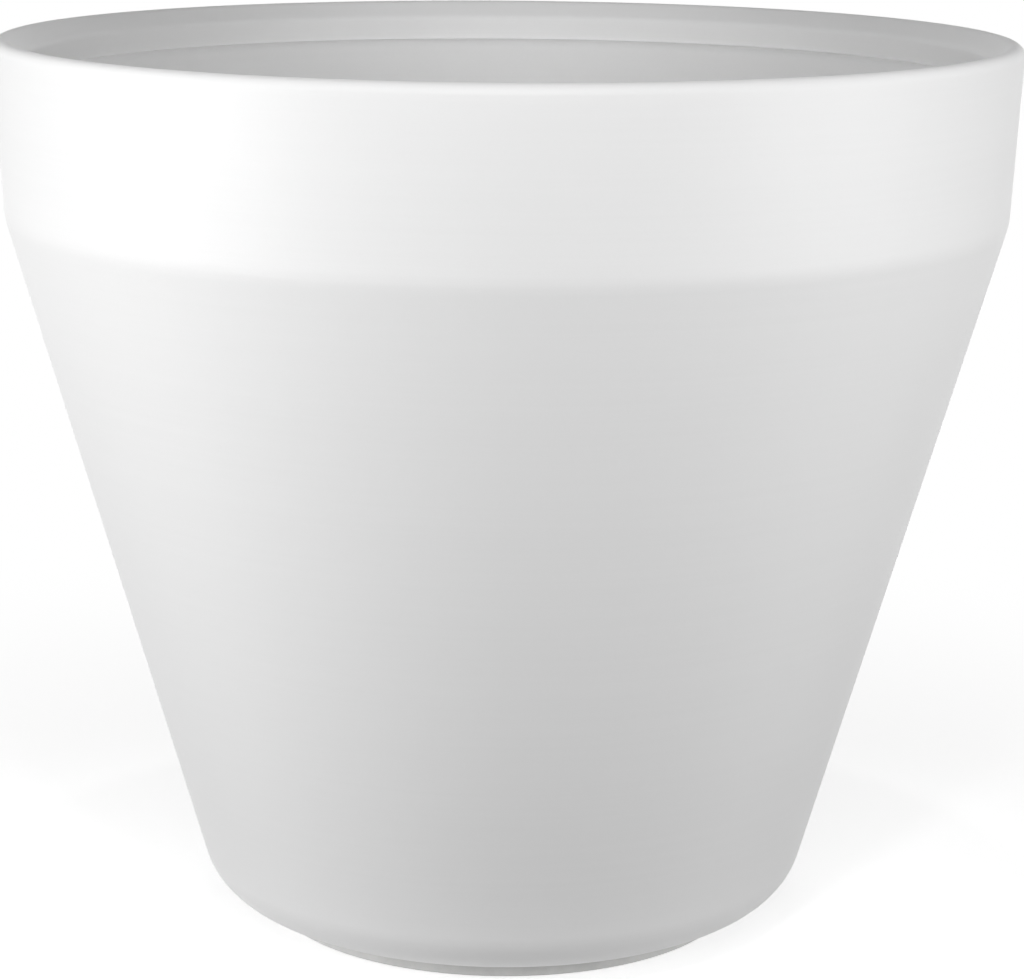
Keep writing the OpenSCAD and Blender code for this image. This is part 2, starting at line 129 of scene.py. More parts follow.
def outline(corners: Sequence[Corner], closed: bool, steps: int) -> list[Point]:
    """Rounds the soft corners of an outline.

    Args:
        corners: The corners in order.
        closed: Whether the last corner joins the first.
        steps: The number of steps in each round.

    Returns:
        The points of the rounded outline as (r, z).
    """
    points: list[Point] = []
    count = len(corners)
    for i, (r, z, *soft) in enumerate(corners):
        if not any(soft) or (not closed and i in (0, count - 1)):
            points.append((r, z))
            continue
        here = Vector((r, z))
        before = Vector(corners[i - 1][:2]) - here
        after = Vector(corners[(i + 1) % count][:2]) - here
        half = before.angle(after) / 2
        reach = soft[0] / math.tan(half)
        before, after = before.normalized(), after.normalized()
        middle = here + (before + after).normalized() * soft[0] / math.sin(half)
        first = here + before * reach - middle
        spread = first.angle_signed(here + after * reach - middle)
        for k in range(steps + 1):
            turned = Matrix.Rotation(-spread * k / steps, 2) @ first
            points.append((middle.x + turned.x, middle.y + turned.y))
    return points


class Bench:
    """The modelling steps that the pieces share, each done with Blender's own operators."""

    @staticmethod
    def clear() -> None:
        """Deselects everything."""
        bpy.ops.object.select_all(action="DESELECT")

    @staticmethod
    def take(piece: Piece) -> None:
        """Makes a piece the only selected and the active one."""
        Bench.clear()
        piece.select_set(True)
        bpy.context.view_layer.objects.active = piece

    @staticmethod
    def named(name: str) -> Piece:
        """Names the active piece and its mesh, and gives it."""
        piece = bpy.context.object
        piece.name = piece.data.name = name
        return piece

    @staticmethod
    def settle(piece: Piece) -> None:
        """Moves a piece's place into its mesh."""
        Bench.take(piece)
        bpy.ops.object.transform_apply(location=True, rotation=True, scale=True)

    @staticmethod
    def apply(piece: Piece, modifier: bpy.types.Modifier) -> None:
        """Applies a piece's modifier."""
        Bench.take(piece)
        bpy.ops.object.modifier_apply(modifier=modifier.name)

    @staticmethod
    @contextmanager
    def editing(piece: Piece, kind: str = "VERT", whole: bool = True) -> Iterator[Mesh]:
        """Opens a piece's mesh in edit mode, and closes it afterwards.

        Args:
            piece: The piece.
            kind: The kind of element that is selected, VERT or EDGE.
            whole: Whether everything is selected at first, or nothing.

        Yields:
            The open mesh.
        """
        Bench.take(piece)
        bpy.ops.object.mode_set(mode="EDIT")
        bpy.ops.mesh.select_mode(type=kind)
        bpy.ops.mesh.select_all(action="SELECT" if whole else "DESELECT")
        yield bmesh.from_edit_mesh(piece.data)
        bpy.ops.object.mode_set(mode="OBJECT")

    @staticmethod
    def extrude(move: Sequence[float]) -> None:
        """Extrudes what is selected."""
        bpy.ops.mesh.extrude_region_move(TRANSFORM_OT_translate={"value": move})

    @staticmethod
    def weld() -> None:
        """Selects everything and merges the points that coincide."""
        bpy.ops.mesh.select_all(action="SELECT")
        bpy.ops.mesh.remove_doubles(threshold=WELD)

    @staticmethod
    def turn(
        name: str,
        corners: Sequence[Corner],
        closed: bool = False,
        rounds: int = 4,
        steps: int = SMALL_STEPS,
        axis: Axis = Axis.Z,
        at: Spot = (0.0, 0.0, 0.0),
        crease: float = CREASE,
    ) -> Piece:
        """Turns an outline once round its axis, as on a lathe.

        Args:
            name: The new piece's name.
            corners: The outline's corners.
            closed: Whether they are a closed ring, and not a line that starts and ends on the axis.
            rounds: The number of steps in each corner's round.
            steps: The number of steps round the axis.
            axis: The direction of the piece's axis.
            at: Where the outline's origin goes.
            crease: The angle in degrees above which an edge stays sharp.

        Returns:
            The finished piece, at the origin with its place in its mesh.
        """
        points = [Vector((r, 0, z)) for r, z in outline(corners, closed, rounds)]
        Bench.clear()
        bpy.ops.mesh.primitive_plane_add(size=MM, location=points[0])
        piece = Bench.named(name)
        Bench.settle(piece)
        with Bench.editing(piece):
            bpy.ops.mesh.merge(type="CENTER")
            for here, there in zip(points, [*points[1:], *points[: int(closed)]]):
                Bench.extrude(there - here)
            Bench.weld()
            bpy.ops.mesh.spin(steps=steps, angle=FULL_TURN, center=(0, 0, 0), axis=(0, 0, 1))
            Bench.weld()
            bpy.ops.mesh.normals_make_consistent(inside=False)
        angle, about = axis.value
        piece.matrix_world = Matrix.Translation(at) @ Matrix.Rotation(angle, 4, about)
        Bench.settle(piece)
        Bench.smooth(piece, crease)
        return piece

    @staticmethod
    def rod(
        name: str,
        radius: float,
        low: float,
        high: float,
        soften: float = 0.0,
        rounds: int = 3,
        steps: int = ROD_STEPS,
        axis: Axis = Axis.Z,
        at: Spot = (0.0, 0.0, 0.0),
    ) -> Piece:
        """Turns a plain rod or disc.

        Args:
            name: The new piece's name.
            radius: Its radius.
            low: Where it starts on its axis.
            high: Where it ends.
            soften: The round of its two edges.
            rounds: The number of steps in each round.
            steps: The number of steps round the axis.
            axis: The direction of its axis.
            at: Where the axis has its origin.

        Returns:
            The rod.
        """
        corners = [(0, low), (radius, low, soften), (radius, high, soften), (0, high)]
        return Bench.turn(name, corners, False, rounds, steps, axis, at)

    @staticmethod
    def smooth(piece: Piece, crease: float = CREASE) -> None:
        """Shades a piece smooth, apart from edges sharper than an angle in degrees."""
        Bench.take(piece)
        bpy.ops.object.shade_smooth_by_angle(angle=math.radians(crease))

    @staticmethod
    def slab(name: str, low: Spot, high: Spot, soften: float = 0.0) -> Piece:
        """Makes a block between two corners.

        Args:
            name: The new piece's name.
            low: The lowest corner.
            high: The highest corner.
            soften: The width of the bevel along the edges.

        Returns:
            The block.
        """
        Bench.clear()
        middle = [(a + b) / 2 for a, b in zip(low, high)]
        size = [b - a for a, b in zip(low, high)]
        bpy.ops.mesh.primitive_cube_add(size=1, location=middle, scale=size)
        piece = Bench.named(name)
        Bench.settle(piece)
        if soften:
            Bench.bevel(piece, soften)
        return piece

    @staticmethod
    def shift(piece: Piece, chosen: Callable[[Vector], bool], move: Sequence[float]) -> None:
        """Moves the points of a piece that a test chooses.

        Args:
            piece: The piece.
            chosen: The test, given a point's place.
            move: The move.
        """
        with Bench.editing(piece, whole=False) as mesh:
            for vert in mesh.verts:
                vert.select = chosen(vert.co)
            mesh.select_flush(True)
            bmesh.update_edit_mesh(piece.data)
            bpy.ops.transform.translate(value=move)

    @staticmethod
    def round_upright(piece: Piece, radius: float, segments: int) -> None:
        """Rounds the upright edges of a block.

        Args:
            piece: The block.
            radius: The radius of the round.
            segments: The number of steps in the round.
        """
        with Bench.editing(piece, "EDGE", False) as mesh:
            for edge in mesh.edges:
                run = edge.verts[1].co - edge.verts[0].co
                edge.select = abs(run.z) > UPRIGHT * run.length
            bmesh.update_edit_mesh(piece.data)
            bpy.ops.mesh.bevel(offset=radius, segments=segments, affect="EDGES")

    @staticmethod
    def bevel(piece: Piece, width: float, segments: int = 3) -> None:
        """Softens the sharp edges of a piece.

        Args:
            piece: The piece to soften.
            width: The width of the bevel.
            segments: The number of steps across the bevel.
        """
        modifier = piece.modifiers.new("soften", "BEVEL")
        modifier.width = width
        modifier.segments = segments
        modifier.limit_method = "ANGLE"
        modifier.angle_limit = BEVEL_FROM
        Bench.apply(piece, modifier)

    @staticmethod
    def combine(piece: Piece, tools: Iterable[Piece], cut: Cut) -> None:
        """Cuts tools out of a piece, or adds them to it, and removes the tools and any slivers.

        Args:
            piece: The piece that changes.
            tools: The solids that it is combined with.
            cut: Whether they are taken away or added.
        """
        for tool in tools:
            modifier = piece.modifiers.new("combine", "BOOLEAN")
            modifier.operation = cut.value
            modifier.solver = "EXACT"
            modifier.object = tool
            Bench.apply(piece, modifier)
            bpy.data.objects.remove(tool)
        with Bench.editing(piece):
            bpy.ops.mesh.dissolve_degenerate(threshold=WELD)

    @staticmethod
    def join(name: str, parts: Sequence[Piece]) -> Piece:
        """Joins several meshes into one piece.

        Args:
            name: The joined piece's name.
            parts: The meshes to join.

        Returns:
            The joined piece.
        """
        Bench.take(parts[0])
        for part in parts[1:]:
            part.select_set(True)
        bpy.ops.object.join()
        return Bench.named(name)

    @staticmethod
    def copy(piece: Piece, place: Matrix, name: str = "copy") -> Piece:
        """Copies a piece with a mesh of its own.

        Args:
            piece: The piece to copy.
            place: The move that the copy makes, which goes into its mesh.
            name: The copy's name.

        Returns:
            The copy.
        """
        twin = piece.copy()
        twin.data = piece.data.copy()
        twin.name = twin.data.name = name
        bpy.context.scene.collection.objects.link(twin)
        twin.data.transform(place)
        if place.determinant() < 0:
            with Bench.editing(twin):
                bpy.ops.mesh.flip_normals()
        return twin

    @staticmethod
    def around(piece: Piece, count: int) -> list[Piece]:
        """Gives a piece and its copies, evenly spaced round the pot's axis."""
        turns = [Matrix.Rotation(FULL_TURN * i / count, 4, "Z") for i in range(1, count)]
        return [piece, *[Bench.copy(piece, turn) for turn in turns]]

    @staticmethod
    def quartered(piece: Piece) -> list[Piece]:
        """Gives a piece from the right of the back, and its mirror images in the other quarters."""
        mirrors = [Matrix.Diagonal((x, y, 1, 1)) for x, y in ((1, -1), (-1, 1), (-1, -1))]
        return [piece, *[Bench.copy(piece, mirror) for mirror in mirrors]]


@dataclass(frozen=True)
class Value:
    """A shader value that Python's own operators work on, each adding its Math node."""

    graph: "Graph"
    socket: bpy.types.NodeSocket

    def _math(self, operation: str, *terms: "Value | float") -> "Value":
        """Adds a Math node."""
        return self.graph.node("ShaderNodeMath", {"operation": operation}, terms)

    def __add__(self, other: "Value | float") -> "Value":
        """Adds."""
        return self._math("ADD", self, other)

    __radd__ = __add__

    def __sub__(self, other: "Value | float") -> "Value":
        """Subtracts."""
        return self._math("SUBTRACT", self, other)

    def __rsub__(self, other: float) -> "Value":
        """Subtracts this value from a number."""
        return self._math("SUBTRACT", other, self)

    def __mul__(self, other: "Value | float") -> "Value":
        """Multiplies."""
        return self._math("MULTIPLY", self, other)

    __rmul__ = __mul__

    def above(self, limit: "Value | float") -> "Value":
        """Gives 1 where this value is above a limit, and 0 elsewhere."""
        return self._math("GREATER_THAN", self, limit)

    def spread(self, low: float, high: float, to_low: float = 0.0, to_high: float = 1.0) -> "Value":
        """Maps a range to another one, smoothly and within its ends.

        Args:
            low: The value that becomes to_low.
            high: The value that becomes to_high.
            to_low: The result at low.
            to_high: The result at high.

        Returns:
            The mapped value.
        """
        ends = {"From Min": low, "From Max": high, "To Min": to_low, "To Max": to_high}
        smooth = {"interpolation_type": "SMOOTHSTEP"}
        return self.graph.node("ShaderNodeMapRange", smooth, {"Value": self, **ends}, "Result")


class Graph:
    """The nodes of one material or of the world."""

    def __init__(self, owner: bpy.types.Material | bpy.types.World) -> None:
        """Opens the nodes of a new material or world.

        Args:
            owner: The material or the world.
        """
        owner.use_nodes = True
        self.owner = owner
        self.tree = owner.node_tree
        self.shader = self.tree.nodes.get("Principled BSDF")

    def node(
        self,
        kind: str,
        settings: dict[str, object] | None = None,
        inputs: "dict[str | int, object] | Sequence[object]" = (),
        output: str | int = 0,
    ) -> Value:
        """Adds a node.

        Args:
            kind: The node's type.
            settings: The node's own settings, which are set first.
            inputs: Values or links for its sockets, by name or number, or in order.
            output: The name or number of the output that is returned.

        Returns:
            The wrapped output.
        """
        made = self.tree.nodes.new(kind)
        for key, value in (settings or {}).items():
            setattr(made, key, value)
        for key, value in inputs.items() if isinstance(inputs, dict) else enumerate(inputs):
            self.feed(made.inputs[key], value)
        return Value(self, made.outputs[output])

    def feed(self, socket: bpy.types.NodeSocket, value: object) -> None:
        """Links a wrapped value to a socket, or sets a constant on it.

        Args:
            socket: The socket.
            value: The wrapped value or the constant, in which a colour may have three numbers.
        """
        if isinstance(value, Value):
            self.tree.links.new(value.socket, socket)
        elif socket.type == "RGBA" and len(value) == 3:
            socket.default_value = (*value, 1)
        else:
            socket.default_value = value

    def set(self, **values: object) -> None:
        """Sets or links the shader's sockets, named with underscores for spaces."""
        for key, value in values.items():
            self.feed(self.shader.inputs[key.replace("_", " ")], value)

    def place(self, scale: Spot = (1.0, 1.0, 1.0)) -> Value:
        """Gives Object coordinates, scaled along each axis."""
        where = self.node("ShaderNodeTexCoord", output="Object")
        return self.node("ShaderNodeMapping", {}, {"Vector": where, "Scale": scale})

    def noise(self, where: Value, scale: float, detail: float = 3.0, rough: float = 0.5) -> Value:
        """Gives fractal noise from 0 to 1.

        Args:
            where: The coordinates.
            scale: The noise's scale.
            detail: The number of octaves.
            rough: The share that each octave keeps.

        Returns:
            The noise.
        """
        inputs = {"Vector": where, "Scale": scale, "Detail": detail, "Roughness": rough}
        return self.node("ShaderNodeTexNoise", {}, inputs, "Fac")

    def cells(self, where: Value, scale: float) -> Value:
        """Gives the distance to the nearest of scattered points."""
        return self.node("ShaderNodeTexVoronoi", {}, {"Vector": where, "Scale": scale}, "Distance")

    def blend(self, factor: Value | float, first: Colour | Value, second: Colour) -> Value:
        """Mixes two colours, of which the factor gives the second one's share."""
        inputs = {0: factor, 6: first, 7: second}
        return self.node("ShaderNodeMix", {"data_type": "RGBA"}, inputs, 2)

    def relief(self, height: Value, depth: float) -> None:
        """Feeds the shader's normal with a height, of which 1 stands for a depth in metres."""
        bump = {"Strength": 1.0, "Distance": depth, "Height": height}
        self.set(Normal=self.node("ShaderNodeBump", {}, bump, "Normal"))

    def show(self, first: Value, second: Value, output: str) -> None:
        """Shows one shader to bounced light and another to the camera.

        Args:
            first: The shader for light that bounces.
            second: The shader for rays from the camera, reflections and what is seen through.
            output: The name of the output node.
        """
        rays = ("Camera", "Glossy", "Transmission")
        paths = [self.node("ShaderNodeLightPath", output=f"Is {ray} Ray") for ray in rays]
        seen = (paths[0] + paths[1] + paths[2]).above(0.5)
        mixed = self.node("ShaderNodeMixShader", {}, [seen, first, second])
        self.feed(self.tree.nodes[output].inputs["Surface"], mixed)


@dataclass(frozen=True)
class Finish:
    """A finish, with its slot, its colour and its middle roughness."""

    name: str
    colour: Colour
    roughness: float = 0.5

    def make(self) -> bpy.types.Material:
        """Builds the finish's material.

        Returns:
            The finished material.
        """
        graph = Graph(bpy.data.materials.new(self.name))
        self.paint(graph)
        return graph.owner

    def paint(self, graph: Graph) -> None:
        """Adds the finish's own nodes to its material's graph."""
        raise NotImplementedError

    def toned(self, share: float, lift: float = 0.0) -> Colour:
        """Gives the finish's colour, made darker or dustier."""
        return tuple(min(1.0, c * share + lift) for c in self.colour)

    def rough(self, mask: Value, low: float, high: float, less: float, more: float) -> Value:
        """Lets the roughness wander round its middle.

        Args:
            mask: The pattern that it follows.
            low: The pattern's value at the smoothest place.
            high: The pattern's value at the roughest place.
            less: How far the roughness falls below its middle.
            more: How far it rises above it.

        Returns:
            The roughness.
        """
        return mask.spread(low, high, self.roughness - less, self.roughness + more)


@dataclass(frozen=True)
class Moulded(Finish):
    """Moulded plastic, with a fine grain and, on the outer pot, lines from turning.

    Attributes:
        grain: The scale of the fine grain.
        depth: The depth of the relief, in metres.
        wander: The share by which the colour drifts over the surface.
        turned: How much of the relief and drift runs in level lines, from 0 to 1.
    """

    grain: float = 1500.0
    depth: float = 0.00003
    wander: float = 0.03
    turned: float = 0.0

    def paint(self, graph: Graph) -> None:
        """Paints the grain, the broad drift of tone and the level lines."""
        here = graph.place()
        broad = graph.noise(here, 14.0, 4.0, 0.55)
        fine = graph.noise(here, self.grain, 2.0, 0.6)
        lines = graph.noise(graph.place((5, 5, 620)), 1.0, 3.0, 0.6)
        bands = graph.noise(graph.place((2, 2, 90)), 1.0, 2.0, 0.5)
        drift = broad * (1 - self.turned) + (lines * 0.6 + bands * 0.4) * self.turned
        shade = (drift * 0.75 + fine * 0.25).spread(0.28, 0.72)
        graph.set(
            Base_Color=graph.blend(shade, self.toned(1 - self.wander), self.colour),
            Roughness=self.rough(broad * 0.6 + lines * 0.4, 0.3, 0.7, 0.06, 0.06),
            Specular_IOR_Level=0.4,
        )
        graph.relief(fine * (1 - 0.5 * self.turned) + lines * self.turned, self.depth)


@dataclass(frozen=True)
class Rubber(Finish):
    """Matt rubber with a dusty bloom and fine pits."""

    roughness: float = 0.82

    def paint(self, graph: Graph) -> None:
        """Paints the bloom and the pits."""
        here = graph.place()
        bloom = graph.noise(here, 60.0, 5.0, 0.6)
        graph.set(
            Base_Color=graph.blend(bloom.spread(0.35, 0.75), self.colour, self.toned(0.82, 0.05)),
            Roughness=self.rough(bloom, 0.2, 0.8, 0.08, 0.08),
            Specular_IOR_Level=0.3,
        )
        graph.relief(graph.cells(here, 900.0) + bloom * 0.5, 0.00006)


@dataclass(frozen=True)
class DrawnSteel(Finish):
    """Stainless steel with fine drawn lines and light stains."""

    roughness: float = 0.3

    def paint(self, graph: Graph) -> None:
        """Paints the drawn lines and the stains."""
        lines = graph.noise(graph.place((900, 900, 60)), 1.0, 2.0, 0.5)
        stains = graph.noise(graph.place(), 220.0, 4.0, 0.6)
        graph.set(
            Base_Color=graph.blend(stains.spread(0.45, 0.8), self.colour, self.toned(0.72)),
            Metallic=1.0,
            Roughness=self.rough(lines * 0.6 + stains * 0.4, 0.3, 0.7, 0.08, 0.12),
        )
        graph.relief(lines, 0.00001)


@dataclass(frozen=True)
class Felt(Finish):
    """Pressed felt of mixed fibres, with flecks of a second colour."""

    roughness: float = 0.95
    fleck: Colour = (0.2, 0.22, 0.27)

    def paint(self, graph: Graph) -> None:
        """Paints the fibres and the flecks."""
        bend = graph.noise(graph.place(), 240.0, 3.0, 0.6)
        fibres = graph.noise(graph.place((1, 1, 0.3)), 1900.0, 4.0, 0.7)
        flecks = graph.noise(graph.place((1, 0.35, 1)), 1300.0, 2.0, 0.5)
        shade = (bend * 0.4 + fibres * 0.6).spread(0.3, 0.7)
        pale = graph.blend(shade, self.toned(0.62), self.colour)
        graph.set(
            Base_Color=graph.blend(flecks.spread(0.6, 0.7), pale, self.fleck),
            Roughness=self.roughness,
            Specular_IOR_Level=0.15,
        )
        graph.relief(fibres * 0.7 + bend * 0.6, 0.0006)


@dataclass(frozen=True)
class Foam(Finish):
    """Closed-cell foam, with cells that show as small dimples."""

    roughness: float = 0.6

    def paint(self, graph: Graph) -> None:
        """Paints the cells."""
        here = graph.place()
        cells = graph.cells(here, 1100.0)
        broad = graph.noise(here, 130.0, 3.0, 0.5)
        shade = (cells * 0.8 + broad * 0.3).spread(0.2, 0.85)
        graph.set(
            Base_Color=graph.blend(shade, self.colour, self.toned(0.66)),
            Roughness=self.rough(broad, 0.3, 0.7, 0.0, 0.15),
        )
        graph.relief(1 - cells, 0.00012)


@dataclass(frozen=True)
class ClearPlastic(Finish):
    """Clear moulded plastic with hair scratches, of which cover is the least opacity."""

    roughness: float = 0.06
    cover: float = 0.08

    def paint(self, graph: Graph) -> None:
        """Paints the scratches and the haze."""
        scratches = graph.noise(graph.place((260, 260, 30)), 1.0, 5.0, 0.7)
        haze = graph.noise(graph.place(), 90.0, 3.0, 0.5)
        veil = scratches * 0.5 + haze * 0.5
        graph.set(
            Base_Color=graph.blend(haze, self.colour, self.toned(0.93)),
            Roughness=self.rough(scratches, 0.5, 0.75, 0.0, 0.22),
            Alpha=veil.spread(0.3, 0.75, self.cover, self.cover + 0.07),
            IOR=1.49,
        )
        graph.relief(scratches, 0.00001)


class Palette:
    """The planter's materials, each made once and found by its slot."""

    def __init__(self) -> None:
        """Makes every material."""
        finishes = [
            Moulded("shell_plastic", (0.92, 0.92, 0.92), 0.5, 1500.0, 0.00004, 0.02, 0.75),
            Rubber("foot_rubber", (0.74, 0.74, 0.73)),
            Moulded("plug_plastic", (0.28, 0.29, 0.3), 0.55, 1100.0, 0.00005, 0.16),
            Rubber("seal_rubber", (0.04, 0.04, 0.04), 0.75),
            Moulded("liner_plastic", (0.9, 0.9, 0.9), 0.56, 900.0, 0.00006, 0.03, 0.35),
            Moulded("handle_plastic", (0.6, 0.61, 0.61), 0.45, 1200.0, 0.00005, 0.08),
            DrawnSteel("pin_steel", (0.62, 0.62, 0.6)),
            Felt("wick_felt", (0.55, 0.5, 0.42)),
            Moulded("tube_plastic", (0.72, 0.72, 0.72), 0.42, 1300.0, 0.00003, 0.04, 0.3),
            ClearPlastic("clear_plastic", (0.9, 0.95, 0.96)),
            Foam("float_foam", (0.85, 0.5, 0.12)),
            Moulded("flag_plastic", (0.72, 0.04, 0.03), 0.24, 700.0, 0.00001, 0.1),
            Moulded("lid_plastic", (0.5, 0.51, 0.52), 0.45, 1300.0, 0.00005, 0.08),
        ]
        self.made = {finish.name: finish.make() for finish in finishes}

    def dress(self, piece: Piece, slot: str) -> None:
        """Gives a piece the material of a slot.

        Args:
            piece: The piece.
            slot: The material slot.
        """
        piece.data.materials.clear()
        piece.data.materials.append(self.made[slot])


@dataclass
class SubAssembly:
    """A group of pieces that are modelled together, and dressed from the palette."""

    palette: Palette
    pieces: list[Piece] = field(default_factory=list)

    def finish(self, piece: Piece, body: str, slot: str, *nodes: str) -> None:
        """Dresses a piece, puts it on its body and lets it stand for its CAD nodes.

        Args:
            piece: The modelled piece.
            body: The body that it rides on.
            slot: Its material slot.
            nodes: The CAD nodes that it replaces.
        """
        self.palette.dress(piece, slot)
        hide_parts(*nodes)
        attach(piece, body)
        self.pieces.append(piece)

    def build(self) -> list[Piece]:
        """Models all the pieces, and gives them."""
        raise NotImplementedError


@dataclass
class OuterPot(SubAssembly):
    """The outer pot, its collar and rounded lip, and the rubber foot that it stands on."""

    rim_r: float = 0.2
    lip_z: float = 0.35
    lip_edge: float = 0.004
    lip_slope: float = 42.0
    lip_inner: Point = (0.191, 0.345498)
    collar_r: float = 0.1967
    collar_z: float = 0.286
    collar_edge: float = 0.03
    base_r: float = 0.117
    base_round: float = 0.026
    foot_h: float = 0.0068
    land_r: float = 0.187
    ledge_r: float = 0.183
    ledge_z: float = 0.3346
    ledge_t: float = 0.004
    haunch: Point = (0.1932704, 0.3203296)
    wall_r: float = 0.1915
    wall_t: float = 0.005
    store_r: float = 0.113228
    floor_z: float = 0.0118
    boss_r: float = 0.017
    boss_z: float = 0.0188
    drain_r: float = 0.011
    rib_r: float = 0.0899833
    rib_half: float = 0.0015
    rib_z: float = 0.0028
    foot_w: float = 0.01
    tread_pitch: float = 0.002
    tread_deep: float = 0.0006

    def shell(self) -> Piece:
        """Turns the outer pot in one go, from the drain hole round the outside and back inside.

        Returns:
            The outer pot.
        """
        lean = math.degrees(math.atan2(self.rim_r - self.collar_r, self.lip_z - self.collar_z))
        fall = 90 + self.lip_slope
        near, far, edge = self.rib_r - self.rib_half, self.rib_r + self.rib_half, self.lip_edge
        corners = [
            (self.drain_r, self.foot_h, 0.0006),
            (near, self.foot_h, 0.0004),
            (near, self.rib_z, 0.0003),
            (far, self.rib_z, 0.0003),
            (far, self.foot_h, 0.0004),
            (self.base_r, self.foot_h, self.base_round),
            (self.collar_r, self.collar_z, self.collar_edge),
            *arc((self.rim_r - edge, self.lip_z), edge, -lean, fall, 18),
            *arc(self.lip_inner, edge, fall, 180, 10),
            (self.land_r, self.ledge_z, 0.0008),
            (self.ledge_r, self.ledge_z, 0.0006),
            (self.ledge_r, self.ledge_z - self.ledge_t, 0.003),
            (*self.haunch, 0.006),
            (self.wall_r, self.collar_z, self.collar_edge),
            (self.store_r, self.floor_z, self.base_round - self.wall_t),
            (self.boss_r, self.floor_z, 0.002),
            (self.boss_r, self.boss_z, 0.001),
            (self.drain_r, self.boss_z, 0.0008),
        ]
        return Bench.turn("pot_shell", corners, True, 10, POT_STEPS, crease=POT_CREASE)

    def foot(self) -> Piece:
        """Turns the foot ring, with the groove that takes the rib and a fine tread underneath.

        Returns:
            The foot ring.
        """
        outer, inner = self.rib_r + self.foot_w / 2, self.rib_r - self.foot_w / 2
        groove = self.rib_half + PLAY
        groove_z = self.rib_z - 0.0004
        deep = self.tread_deep
        dent = ((-0.0006, 0.0), (-0.0003, deep), (0.0003, deep), (0.0006, 0.0))
        middles = [self.rib_r + i * self.tread_pitch for i in (-1, 0, 1)]
        corners = [
            (inner, 0.0, 0.0009),
            *[(middle + out, z, 0.0002) for middle in middles for out, z in dent],
            (outer, 0.0, 0.0009),
            (outer, self.foot_h, 0.0002),
            (self.rib_r + groove, self.foot_h),
            (self.rib_r + groove, groove_z),
            (self.rib_r - groove, groove_z),
            (self.rib_r - groove, self.foot_h),
            (inner, self.foot_h, 0.0002),
        ]
        return Bench.turn("pot_foot", corners, True, 4, POT_STEPS)

    def build(self) -> list[Piece]:
        """Models the outer pot and its foot."""
        self.finish(self.shell(), "outer_pot", "shell_plastic", "planter_shell")
        self.finish(self.foot(), "outer_pot", "foot_rubber", "foot_ring")
        return self.pieces


@dataclass
class Drain(SubAssembly):
    """The drain plug, with its coin slot and screw ridges, and the washer under its head."""

    head_r: float = 0.016
    head_z: float = 0.0024
    head_top: float = 0.0054
    seal_top: float = 0.0068
    shank_r: float = 0.01095
    shank_top: float = 0.0188
    hollow_r: float = 0.007
    hollow_deep: float = 0.006
    ridge_pitch: float = 0.0022
    ridge_deep: float = 0.0008
    ridge_count: int = 4
    slot_w: float = 0.003
    slot_len: float = 0.026
    slot_deep: float = 0.0016

    def plug(self) -> Piece:
        """Turns the plug and cuts its coin slot.

        Returns:
            The plug.
        """
        root = self.shank_r - self.ridge_deep
        ridge = ((root, 0.0), (self.shank_r, 0.0008), (self.shank_r, 0.0012), (root, 0.002))
        starts = [self.seal_top + 0.0012 + i * self.ridge_pitch for i in range(self.ridge_count)]
        floor = self.shank_top - self.hollow_deep
        corners = [
            (0, self.head_z),
            (self.head_r - 0.004, self.head_z, 0.002),
            (self.head_r, self.head_z + 0.0004, 0.0006),
            (self.head_r, self.head_top, 0.0005),
            (self.shank_r, self.head_top, 0.0004),
            (self.shank_r, self.seal_top + 0.0008, 0.0003),
            *[(r, start + up, 0.0002) for start in starts for r, up in ridge],
            (root, self.shank_top, 0.0006),
            (self.hollow_r, self.shank_top, 0.0005),
            (self.hollow_r - 0.0005, floor, 0.001),
            (0, floor),
        ]
        plug = Bench.turn("pot_drain_plug", corners)
        half, wide, top = self.slot_len / 2, self.slot_w / 2, self.head_z + self.slot_deep
        slot = Bench.slab("slot", (-half, -wide, -OVERCUT), (half, wide, top), 0.0004)
        Bench.combine(plug, [slot], Cut.TAKE_AWAY)
        Bench.smooth(plug)
        return plug

    def seal(self) -> Piece:
        """Turns the sealing washer.

        Returns:
            The washer.
        """
        hole = self.shank_r + PLAY
        corners = [
            (hole, self.head_top, 0.0004),
            (self.head_r, self.head_top, 0.0005),
            (self.head_r, self.seal_top, 0.0005),
            (hole, self.seal_top, 0.0004),
        ]
        return Bench.turn("pot_drain_seal", corners, True, 5)

    def build(self) -> list[Piece]:
        """Models the plug and its washer."""
        self.finish(self.plug(), "drain_plug", "plug_plastic", "drain_plug")
        self.finish(self.seal(), "drain_plug", "seal_rubber", "drain_seal")
        return self.pieces


@dataclass
class Inner(SubAssembly):
    """A sub-assembly of the growing pot, with the places that these sub-assemblies share."""

    deck_z: float = 0.0868
    flange_t: float = 0.003
    pivot: Spot = (0.1510165, 0.0, 0.3218)
    wick_place: float = 0.064
    wick_count: int = 3
    gauge: Spot = (0.0, -0.0935771, 0.0)
    filler: Spot = (0.0498765, -0.076803, 0.0)

    def flange(self, tube_r: float, flange_r: float, fillet: float) -> list[Corner]:
        """Gives the outline of a tube's flange, which lies on the growing pot's floor.

        Args:
            tube_r: The tube's radius.
            flange_r: The flange's radius.
            fillet: The round in the corner above it.

        Returns:
            The corners.
        """
        low, top = self.deck_z, self.deck_z + self.flange_t
        edge = [(flange_r, low, 0.0002), (flange_r, top, 0.001)]
        return [(tube_r, low), *edge, (tube_r, top, fillet)]


